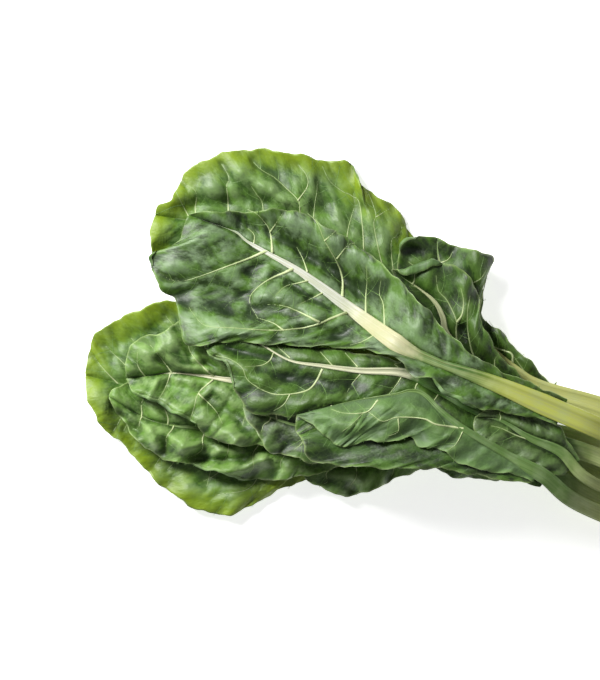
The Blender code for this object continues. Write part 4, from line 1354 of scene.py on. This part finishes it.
def make_stalk(leaf):
    sheet = SHEETS[leaf.name]
    path = sheet.path
    end = path.stalk_length + RIB_STOPS * leaf.blade
    distance = np.linspace(0, end, int(end / STALK_STEP))
    share = (distance - path.stalk_length) / leaf.blade
    centre, _, out = path.frame(distance)
    height = sheet.rib_height(distance)
    rng = np.random.default_rng(sum(map(ord, leaf.name)) + 5)
    sway = sum([size * np.sin(distance / length + rng.uniform(0, 6)) for length, size in SWAY])
    rings, around = [], []
    for k, s in enumerate(share):
        width, depth = rib_width(leaf, s) * rib_fit(leaf, s), rib_depth(leaf, s)
        if s > TIP_FROM:
            width *= 1 - TIP_SLIMS * (s - TIP_FROM) / TIP_LENGTH
        x, z = stalk_section(width * (1 + SWAY_SHARE * sway[k]), depth)
        plan = centre[k] + out[k] * x[:, None]
        rings.append(np.concatenate([plan, (height[k] + z)[:, None]], axis=-1))
        around.append(np.concatenate([[0], np.cumsum(np.hypot(np.diff(x), np.diff(z)))]))
    rings = np.array(rings)
    count, sides = rings.shape[:2]
    i, j = np.meshgrid(np.arange(count - 1), np.arange(sides), indexing="ij")
    a, b = (i * sides + j).ravel(), (i * sides + (j + 1) % sides).ravel()
    walls = np.stack([a, b, b + sides, a + sides], axis=1)
    ends = rings[[0, -1]].mean(axis=1)
    points = np.concatenate([rings.reshape(-1, 3), ends])
    first, last, far = count * sides, count * sides + 1, (count - 1) * sides
    caps = [(first, (k + 1) % sides, k) for k in range(sides)]
    caps += [(last, far + k, far + (k + 1) % sides) for k in range(sides)]

    def at_points(values, at_ends):
        return np.append(np.repeat(values, sides), at_ends)

    attributes = {
        "share": at_points(share, [-1.0, 1.0]),
        "x": at_points(centre[:, 0], ends[:, 0]),
        "cut": at_points(np.exp(-distance / CUT_REACH), [1.0, 0.0]),
    }
    uv = np.stack([np.repeat(distance, sides), np.array(around).ravel()], axis=-1) * SCALE_UV
    uv = np.concatenate([uv, uv[[0, -1]]])
    name = f"{leaf.name}_rib"
    return place(name, make_mesh(name, points, [*walls.tolist(), *caps], attributes, uv))


RIBS = {leaf.name: make_stalk(leaf) for leaf in LEAVES}
print("points of the stalks:", sum(len(rib.data.vertices) for rib in RIBS.values()))

# %% [markdown]
# ## Short words for nodes
# A node tree here is up to a few dozen nodes, so small helpers keep each step to one readable line. One
# adds a node and sets or links its inputs, and the others are the steps that come again: arithmetic, a
# mix of two colours by a mask, a stretch of values, flat noise and a value that the mesh holds.

# %% Helpers for nodes
AT_REACH = 0.3679  # what is left of a mask that fades, one reach away


def node(tree, kind, inputs=None, **settings):
    made = tree.nodes.new(kind)
    for key, value in settings.items():
        setattr(made, key, value)
    for key, value in (inputs or {}).items():
        if isinstance(value, bpy.types.NodeSocket):
            tree.links.new(value, made.inputs[key])
        else:
            made.inputs[key].default_value = value
    return made


def new_tree(name, kind, inputs, outputs):
    """A node group with named sockets, and the nodes at its two ends."""
    tree = bpy.data.node_groups.new(name, kind)
    for direction, sockets in (("INPUT", inputs), ("OUTPUT", outputs)):
        for title, (socket, *value) in sockets.items():
            made = tree.interface.new_socket(title, in_out=direction, socket_type=f"NodeSocket{socket}")
            if value:
                made.default_value = value[0]
    return tree, node(tree, "NodeGroupInput").outputs, node(tree, "NodeGroupOutput").inputs


def new_material(name, **values):
    """A material, its tree and its shader's inputs, with plain values set on the shader."""
    material = bpy.data.materials.new(name)
    material.use_nodes = True
    tree = material.node_tree
    shader = tree.nodes["Principled BSDF"].inputs
    for key, value in values.items():
        shader[key.replace("_", " ")].default_value = value
    return material, tree, shader


def calc(tree, operation, a, b=0.0, c=0.0, clamp=False):
    inputs = {0: a, 1: b, 2: c}
    return node(tree, "ShaderNodeMath", inputs, operation=operation, use_clamp=clamp).outputs[0]


def vector(tree, operation, inputs):
    return node(tree, "ShaderNodeVectorMath", inputs, operation=operation).outputs[0]


def ramp(tree, value, start, end, low=0.0, high=1.0, smooth=False):
    """Turns start to end into low to high, and holds what lies outside."""
    kind = "SMOOTHSTEP" if smooth else "LINEAR"
    inputs = {0: value, 1: start, 2: end, 3: low, 4: high}
    return node(tree, "ShaderNodeMapRange", inputs, interpolation_type=kind).outputs[0]


def noise(tree, at, scale, detail, roughness=0.5):
    inputs = {"Vector": at, "Scale": scale, "Detail": detail, "Roughness": roughness}
    return node(tree, "ShaderNodeTexNoise", inputs, noise_dimensions="2D").outputs


def cells(tree, at, scale):
    """Distance to the nearest edge in a pattern of cells."""
    inputs, kind = {"Vector": at, "Scale": scale}, "ShaderNodeTexVoronoi"
    made = node(tree, kind, inputs, feature="DISTANCE_TO_EDGE", voronoi_dimensions="2D")
    return made.outputs["Distance"]


def read(tree, name):
    return node(tree, "ShaderNodeAttribute", attribute_name=name).outputs["Fac"]


def surface_map(tree):
    return node(tree, "ShaderNodeUVMap", uv_map="surface").outputs["UV"]


def fades(tree, value, reach):
    """A mask that is one at nought and falls off over the reach."""
    return calc(tree, "POWER", AT_REACH, calc(tree, "DIVIDE", value, reach), clamp=True)


def colour(hex_code):
    """A colour as a node wants it, from a hexadecimal value."""
    parts = [int(hex_code[k : k + 2], 16) / 255 for k in (0, 2, 4)]
    return (*[p / 12.92 if p <= 0.04045 else ((p + 0.055) / 1.055) ** 2.4 for p in parts], 1.0)


def mixed(tree, mask, a, b):
    """Colours mixed by a mask; a colour is a socket or a hexadecimal value."""
    a, b = (colour(c) if isinstance(c, str) else c for c in (a, b))
    return node(tree, "ShaderNodeMix", {0: mask, 6: a, 7: b}, data_type="RGBA").outputs[2]


print("a fresh green as a node sees it:", [round(v, 3) for v in colour("5c8a3a")])

# %% [markdown]
# ## Veins as tapered cords in the leaf
# Veins follow paths over a surface, so a small node tree sweeps them: it takes a mesh of bare lines whose
# points know their own radius, makes curves of them and gives them a round section. They are laid in the
# skin of the blade and stand a little proud of it. The tree is built once and used for every leaf.

# %% The node tree for veins
VEIN_SIDES = 6


def vein_tree():
    inputs = {"Lines": ["Geometry"], "Sides": ["Int", VEIN_SIDES], "Swell": ["Float", 1.0]}
    inputs["Flesh"] = ["Material"]
    outputs = {"Veins": ["Geometry"]}
    tree, source, result = new_tree("veins along lines", "GeometryNodeTree", inputs, outputs)
    radius = node(tree, "GeometryNodeInputNamedAttribute", {"Name": "radius_m"}, data_type="FLOAT")
    scaled = calc(tree, "MULTIPLY", radius.outputs["Attribute"], source["Swell"])
    lines = node(tree, "GeometryNodeMeshToCurve", {"Mesh": source["Lines"]}).outputs["Curve"]
    size = {"Resolution": source["Sides"], "Radius": 1.0}
    circle = node(tree, "GeometryNodeCurvePrimitiveCircle", size).outputs["Curve"]
    swept = {"Curve": lines, "Profile Curve": circle, "Scale": scaled, "Fill Caps": True}
    veins = node(tree, "GeometryNodeCurveToMesh", swept).outputs["Mesh"]
    veins = node(tree, "GeometryNodeSetShadeSmooth", {"Geometry": veins}).outputs["Geometry"]
    veins = node(tree, "GeometryNodeRealizeInstances", {"Geometry": veins}).outputs["Geometry"]
    painted = node(tree, "GeometryNodeSetMaterial", {"Geometry": veins, "Material": source["Flesh"]})
    tree.links.new(painted.outputs["Geometry"], result["Veins"])
    return tree


VEIN_TREE = vein_tree()
VEIN_INPUTS = {i.name: i.identifier for i in VEIN_TREE.interface.items_tree if i.in_out == "INPUT"}
LEAST_AREA = 1e-3  # of a cell in plan, that is reckoned with


def on_surface(half, normals, line):
    """Heights and normals of the half's surface under the points of a line."""
    rows, columns = half.z.shape
    if not hasattr(half, "tree"):
        half.tree = tree_of(half.plan.reshape(-1, 2))
    index = np.array([half.tree.find((x, y, 0.0))[1] for x, y in line])
    i, j = np.clip(index // columns, 1, rows - 2), np.clip(index % columns, 1, columns - 2)
    g = half.grid
    a, b = g[i + 1, j] - g[i - 1, j], g[i, j + 1] - g[i, j - 1]
    d = line - g[i, j, :2]
    det = a[:, 0] * b[:, 1] - a[:, 1] * b[:, 0]
    det = np.where(np.abs(det) < LEAST_AREA, LEAST_AREA, det)
    u = np.clip((d[:, 0] * b[:, 1] - d[:, 1] * b[:, 0]) / det, -1, 1)
    v = np.clip((a[:, 0] * d[:, 1] - a[:, 1] * d[:, 0]) / det, -1, 1)
    z = g[i, j, 2] + u * a[:, 2] + v * b[:, 2]
    return np.concatenate([line, z[:, None]], axis=1), normals[i, j]


STRONG_VEIN = (1.2, 0.28)  # radius at its foot and at its end
THIN_VEIN = (0.32, 0.16)
TWIG = (0.16, 0.1)
VEIN_TAPER = 2.2
FULL_VEIN = 75  # length from which a strong vein has its full radius
VEIN_STANDS = 0.22  # height of a vein's centre over the middle of the blade
VEIN_SIZES = {"main": 1.25, "fore_right": 1.5, "back_right": 1.3, "back_top": 0.85, "back_left": 0.8}


def vein_lines(leaf):
    """Points, edges, radii and paleness of all veins of a leaf."""
    points, edges, radii, pale = [], [], [], []
    for half in halves[leaf.name]:
        normals = sheet_normals(half.grid)
        for lines, (foot, end), paleness in (
            (half.strong, STRONG_VEIN, 1.0), (half.thin, THIN_VEIN, 0.12), (half.twigs, TWIG, 0.0),
        ):
            for line in lines:
                surface, normal = on_surface(half, normals, line)
                share = np.linspace(0, 1, len(line))
                size = 1.0
                if lines is half.strong:
                    size = VEIN_SIZES.get(leaf.name, 1.0) * min(1.0, 0.3 + len(line) * STEP / FULL_VEIN)
                base = len(points)
                points.extend(surface + normal * VEIN_STANDS)
                edges.extend((base + k, base + k + 1) for k in range(len(line) - 1))
                radii.extend(end + (foot * size - end) * (1 - share) ** VEIN_TAPER)
                pale.extend(paleness * (1 - 0.6 * share))
    return np.array(points), edges, {"radius_m": np.array(radii) * MM, "pale": np.array(pale)}


def make_veins(leaf, material):
    points, edges, attributes = vein_lines(leaf)
    name = f"{leaf.name}_vein_lines"
    lines = place(name, make_mesh(name, points, [], attributes, edges=edges))
    modifier = lines.modifiers.new("veins", "NODES")
    modifier.node_group = VEIN_TREE
    for title, value in {"Sides": VEIN_SIDES, "Swell": 1.0, "Flesh": material}.items():
        modifier[VEIN_INPUTS[title]] = value
    evaluated = lines.evaluated_get(bpy.context.evaluated_depsgraph_get())
    baked = bpy.data.meshes.new_from_object(evaluated)
    baked.name = f"{leaf.name}_veins"
    bpy.data.objects.remove(lines)
    return place(f"{leaf.name}_veins", baked)


print("the vein tree takes", list(VEIN_INPUTS))

# %% [markdown]
# ## The finest veins, as a shared effect
# Between the modelled twigs a leaf has a web of veins thinner than a hair. It is a cell pattern: two
# sizes of cell, bent by noise so that no edge is straight. All the leaves use it, so it is a node group
# that gives out masks, a height and a mottle, and each material decides what to do with them.

# %% The leaf web group
def leaf_web():
    inputs = {"Place": ["Vector"], "Cells to a centimetre": ["Float", 2.2]}
    outputs = {name: ["Float"] for name in ("Web", "Height", "Mottle", "Grain")}
    tree, source, result = new_tree("leaf web", "ShaderNodeTree", inputs, outputs)
    at, per_cm = source["Place"], source["Cells to a centimetre"]
    bend = vector(tree, "SUBTRACT", {0: noise(tree, at, 1.4, 2.0)["Color"], 1: (0.5, 0.5, 0.5)})
    where = vector(tree, "ADD", {0: at, 1: vector(tree, "SCALE", {0: bend, "Scale": 0.45})})
    wide = cells(tree, where, per_cm)
    narrow = cells(tree, where, calc(tree, "MULTIPLY", per_cm, 2.7))
    wide_line, narrow_line = fades(tree, wide, 0.035), fades(tree, narrow, 0.05)
    domes = calc(tree, "SMOOTH_MIN", wide, 0.25, 0.2)
    gives = {
        "Web": calc(tree, "MULTIPLY_ADD", narrow_line, 0.4, wide_line, clamp=True),
        "Height": calc(tree, "MULTIPLY_ADD", narrow, 0.22, domes),
        "Mottle": noise(tree, at, 0.55, 3.0, 0.62)["Fac"],
        "Grain": noise(tree, at, 22.0, 0.0)["Fac"],
    }
    for name, value in gives.items():
        tree.links.new(value, result[name])
    return tree


LEAF_WEB = leaf_web()
print("the leaf web gives", [i.name for i in LEAF_WEB.interface.items_tree if i.in_out == "OUTPUT"])

# %% [markdown]
# ## The skin of a leaf
# The upper side is a deep green that varies slowly, with a grey waxy bloom on it, partly painted sheen,
# and a soft shine. The crests of the relief get a painted highlight in the wax green, and its hollows a
# painted shade of near-black green. Green fades beside the veins, and a hair of pale tissue runs along
# the margin. Old outer leaves turn yellow from the edge inwards. The underside is paler and duller. All
# of it comes from distances and heights that the mesh already holds.

# %% Leaf materials
UNDERSIDE_PALER = 0.35


def leaf_material(name, deep, fresh, edge, edge_reach, wax_and_highlight, bloom_and_sheen, hollow_shade, rim_shows):
    material, tree, shader = new_material(
        name, IOR=1.45, Coat_Weight=0.12, Coat_Roughness=0.45,
        Sheen_Weight=0.08, Sheen_Roughness=0.4, Sheen_Tint=colour("dfe9d8"),
    )
    uv = surface_map(tree)
    web = node(tree, "ShaderNodeGroup", node_tree=LEAF_WEB)
    tree.links.new(uv, web.inputs["Place"])
    web = web.outputs
    from_edge, under, crest = read(tree, "from_edge"), read(tree, "underside"), read(tree, "crest")
    turning = calc(tree, "MULTIPLY_ADD", web["Mottle"], -28.0, calc(tree, "ADD", from_edge, 14.0))
    turning = calc(tree, "SUBTRACT", 1.0, calc(tree, "DIVIDE", turning, edge_reach), clamp=True)
    skin = mixed(tree, ramp(tree, web["Mottle"], 0.36, 0.66, smooth=True), deep, fresh)
    for mask, over in (
        # partly a real waxy bloom and partly painted sheen: the wax green in broad, soft noisy patches
        (ramp(tree, noise(tree, uv, 0.9, 3.0, 0.7)["Fac"], 0.45, 0.75, high=bloom_and_sheen), wax_and_highlight),
        # painted highlight: the wax green on the crests of the relief
        (ramp(tree, crest, 0.0, 0.8, high=0.36, smooth=True), wax_and_highlight),
        (calc(tree, "MULTIPLY", turning, 0.95), edge),
        (calc(tree, "MULTIPLY", web["Web"], 0.12), "7fa052"),
        (calc(tree, "MULTIPLY", fades(tree, read(tree, "from_vein"), 1.2), 0.4), "7d9c4c"),
        (calc(tree, "MULTIPLY", fades(tree, read(tree, "from_thin"), 0.8), 0.12), "6f9142"),
        # painted shade: a near-black green darkens the hollows of the relief
        (ramp(tree, crest, -0.15, -1.0, high=hollow_shade, smooth=True), "0d2006"),
        (calc(tree, "MULTIPLY", fades(tree, from_edge, 0.7), rim_shows), "a9bd7c"),
        (calc(tree, "MULTIPLY", under, UNDERSIDE_PALER), "6f9058"),
    ):
        skin = mixed(tree, mask, skin, over)
    tree.links.new(skin, shader["Base Color"])
    dull = calc(tree, "MULTIPLY_ADD", web["Mottle"], 0.16, calc(tree, "MULTIPLY_ADD", under, 0.1, 0.44))
    tree.links.new(dull, shader["Roughness"])
    lines = calc(tree, "MULTIPLY_ADD", web["Grain"], 0.05, web["Height"])
    lines = calc(tree, "MULTIPLY_ADD", noise(tree, uv, 2.4, 4.0)["Fac"], 2.5, lines)
    bump = node(tree, "ShaderNodeBump", {"Strength": 0.3, "Distance": 0.0007, "Height": lines})
    tree.links.new(bump.outputs["Normal"], shader["Normal"])
    return material


# name; deep, fresh and edge green; how far the edge reaches; wax green, also the painted highlight on
# crests, and its bloom, partly painted sheen; painted shade in the hollows; pale rim
SKINS = {
    "green": ("fresh leaf skin", "21350e", "45681b", "4c6f22", 4.0, "8ca67c", 0.52, 0.78, 0.35),
    "yellow_edged": (
        "yellowing leaf skin", "2e4d14", "507525", "748c00", 20.0, "86a067", 0.35, 0.35, 0.35
    ),
    # The shaded, light and deep green skins are copies of the fresh one in other tones. The shaded and
    # deep green ones are darker and paint shade on leaves that lie under others. The light one is lighter
    # and paints more light on three leaves low on the left.
    "shade_dark": ("shaded leaf skin", "142206", "2f4a12", "3b5a1c", 4.0, "6f8a50", 0.35, 0.78, 0.6),
    "light": ("light leaf skin", "305015", "5a812c", "5a7e2e", 4.0, "8ea969", 0.6, 0.45, 0.6),
    "deep": ("deep green leaf skin", "112502", "2c4d06", "436619", 4.0, "5c7e2e", 0.22, 0.8, 0.6),
}
LEAF_SKINS = {key: leaf_material(*values) for key, values in SKINS.items()}
# which leaves take a darker skin for painted shade and which take the lighter one for painted light
SHADE_AND_LIGHT_SKINS = {
    "centre": "deep", "folded": "deep", "fore_right": "deep", "back_right": "deep",
    "inner_left": "light", "lower_left": "light", "low_centre": "light",
}
print("leaf skins:", list(LEAF_SKINS))

# %% [markdown]
# ## The flesh of ribs and veins
# Ribs are white and wet-looking on the blade and turn green to olive down the stalk. The colour follows
# the place along the stalk, with long fibres that shade it. Fine veins are greener than strong ones.

# %% Rib and vein materials
def rib_material(name, tip, *turns, fibres="a3a56e"):
    material, tree, shader = new_material(
        name, Roughness=0.5, IOR=1.42, Coat_Weight=0.1, Coat_Roughness=0.4
    )
    uv = surface_map(tree)
    stretched = node(tree, "ShaderNodeMapping", {"Vector": uv, "Scale": (0.12, 9.0, 1.0)}).outputs[0]
    fibre = noise(tree, stretched, 1.0, 3.0)["Fac"]
    blotch = noise(tree, uv, 0.8, 3.0)["Fac"]
    shift = calc(tree, "MULTIPLY_ADD", blotch, 24.0, calc(tree, "SUBTRACT", read(tree, "x"), 12.0))
    flesh = colour(tip)
    for mask, over in (
        *((ramp(tree, shift, start, end, smooth=True), tint) for start, end, tint in turns),
        (ramp(tree, fibre, 0.35, 0.65, 0.5, 0.0), fibres),
        (ramp(tree, read(tree, "share"), 0.82, 0.92, high=0.85), "5d7d38"),
        (ramp(tree, blotch, 0.45, 0.7, high=0.22), "9aaa84"),
        (calc(tree, "MULTIPLY", read(tree, "cut"), 0.8, clamp=True), "e3e6cf"),
    ):
        flesh = mixed(tree, mask, flesh, over)
    tree.links.new(flesh, shader["Base Color"])
    bump = node(tree, "ShaderNodeBump", {"Strength": 0.3, "Distance": 0.0005, "Height": fibre})
    tree.links.new(bump.outputs["Normal"], shader["Normal"])
    return material


def vein_material():
    material, tree, shader = new_material("vein flesh", Roughness=0.4, IOR=1.42)
    position = node(tree, "ShaderNodeTexCoord").outputs["Object"]
    blotch = node(tree, "ShaderNodeTexNoise", {"Vector": position, "Scale": 90.0, "Detail": 2.0})
    flesh = mixed(tree, read(tree, "pale"), "4f7a34", "c2cb9c")
    flesh = mixed(tree, calc(tree, "MULTIPLY", blotch.outputs["Fac"], 0.3), flesh, "8fa956")
    tree.links.new(flesh, shader["Base Color"])
    return material


RIB_FLESH = {
    "pale": rib_material("pale rib flesh", "d2cfb2", (0, 40, "7f9c50"), (130, 190, "b4bb80")),
    "olive": rib_material(
        "white to olive rib flesh", "cfd0c8", (-50, -15, "b8b491"), (0, 22, "456a2a"), (52, 100, "abb24e")
    ),
    "sunk": rib_material(
        "rib flesh that runs into green", "d2cfb2", (2, 16, "3a5f24"), (128, 170, "a9b272"),
        fibres="5f7d38",
    ),
    "green": rib_material(
        "green rib flesh", "64803f", (0, 40, "4f6e34"), (124, 166, "a9b272"), fibres="6d8548",
    ),
    "cream": rib_material("cream rib flesh", "c6cba0", (62, 84, "b2b56c"), (130, 190, "a9ad5a")),
}
RIB_FINISH = {
    "centre": "sunk", "folded": "green", "side_right": "green", "under_centre": "green",
    "fore_right": "cream", "back_right": "cream", "lower_left": "green", "back_left": "green",
}
VEIN_FLESH = vein_material()
VEINS_MADE = {leaf.name: make_veins(leaf, VEIN_FLESH) for leaf in LEAVES}
print("faces of the veins:", sum(len(veins.data.polygons) for veins in VEINS_MADE.values()))

# %% [markdown]
# ## Putting the pieces in the frame
# Each blade stands in for its blade node and each rib for its stalk node, and the veins ride along. All
# are on the one body, because nothing in a bunch of leaves is jointed.

# %% Pieces, slots and bodies
def volume_of(mesh):
    points = np.array([v.co for v in mesh.vertices])
    mesh.calc_loop_triangles()
    t = points[np.array([tri.vertices for tri in mesh.loop_triangles])]
    return float(np.einsum("ij,ij->i", t[:, 0], np.cross(t[:, 1], t[:, 2])).sum() / 6)


for leaf in LEAVES:
    blade, rib, veins = BLADES[leaf.name], RIBS[leaf.name], VEINS_MADE[leaf.name]
    blade.data.materials.append(LEAF_SKINS[SHADE_AND_LIGHT_SKINS.get(leaf.name, leaf.colour)])
    rib.data.materials.append(RIB_FLESH[RIB_FINISH.get(leaf.name, leaf.stalk_colour)])
    for piece in (blade, rib, veins):
        if volume_of(piece.data) < 0:
            piece.data.flip_normals()
        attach(piece, "root")
    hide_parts(f"{leaf.name}_blade")
    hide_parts(f"{leaf.name}_stalk")
print("pieces:", 3 * len(LEAVES))

# %% [markdown]
# ## Floor, light and camera
# The bunch lies on a plain white surface under one large soft light from the upper left, with enough
# light from all round to keep the shadows open. The camera looks straight down from far off, because the
# outlines were measured in a picture with almost no perspective.

# %% The stage
def area_light(name, place_at, aim, size, watts):
    data = bpy.data.lights.new(name, "AREA")
    data.size, data.energy = size, watts
    lamp = place(name, data)
    lamp.location = place_at
    lamp.rotation_euler = (Vector(aim) - Vector(place_at)).to_track_quat("-Z", "Y").to_euler()


bpy.ops.mesh.primitive_plane_add(size=6.0, location=(0, 0, -0.0002))
floor = bpy.context.object
floor.name = "floor"
WHITE = (1.0, 1.0, 1.0, 1.0)
paper = {"Base_Color": (0.93, 0.93, 0.93, 1.0), "Roughness": 0.9}
paper |= {"Emission_Color": WHITE, "Emission_Strength": 0.66}
floor.data.materials.append(new_material("white paper", **paper)[0])

area_light("large soft light", (-1.05, 0.85, 1.0), (-0.05, 0, 0), 0.6, 50.0)
area_light("weak light from the right", (1.3, -0.5, 1.2), (0, 0, 0), 1.6, 4.0)
world = bpy.data.worlds.new("room")
world.use_nodes = True
sky = world.node_tree.nodes["Background"].inputs
sky["Color"].default_value, sky["Strength"].default_value = WHITE, 0.17
bpy.context.scene.world = world
bpy.context.scene.view_settings.view_transform = "Standard"

PHOTO_CENTRE = (-0.0852, 0.0090)  # the point of the bunch's frame at the middle of the picture
PHOTO_HEIGHT = 0.544  # metres from the picture's top to its bottom
CAMERA_HEIGHT = 6.0
FOCUS_HEIGHT = 0.035  # the height at which the picture was measured
SENSOR = 36.0
lens = bpy.data.cameras.new("camera")
lens.sensor_width, lens.lens = SENSOR, SENSOR * (CAMERA_HEIGHT - FOCUS_HEIGHT) / PHOTO_HEIGHT
camera = place("camera", lens)
camera.location = (*PHOTO_CENTRE, CAMERA_HEIGHT)
bpy.context.scene.camera = camera
print("lens in millimetres:", round(lens.lens, 1))
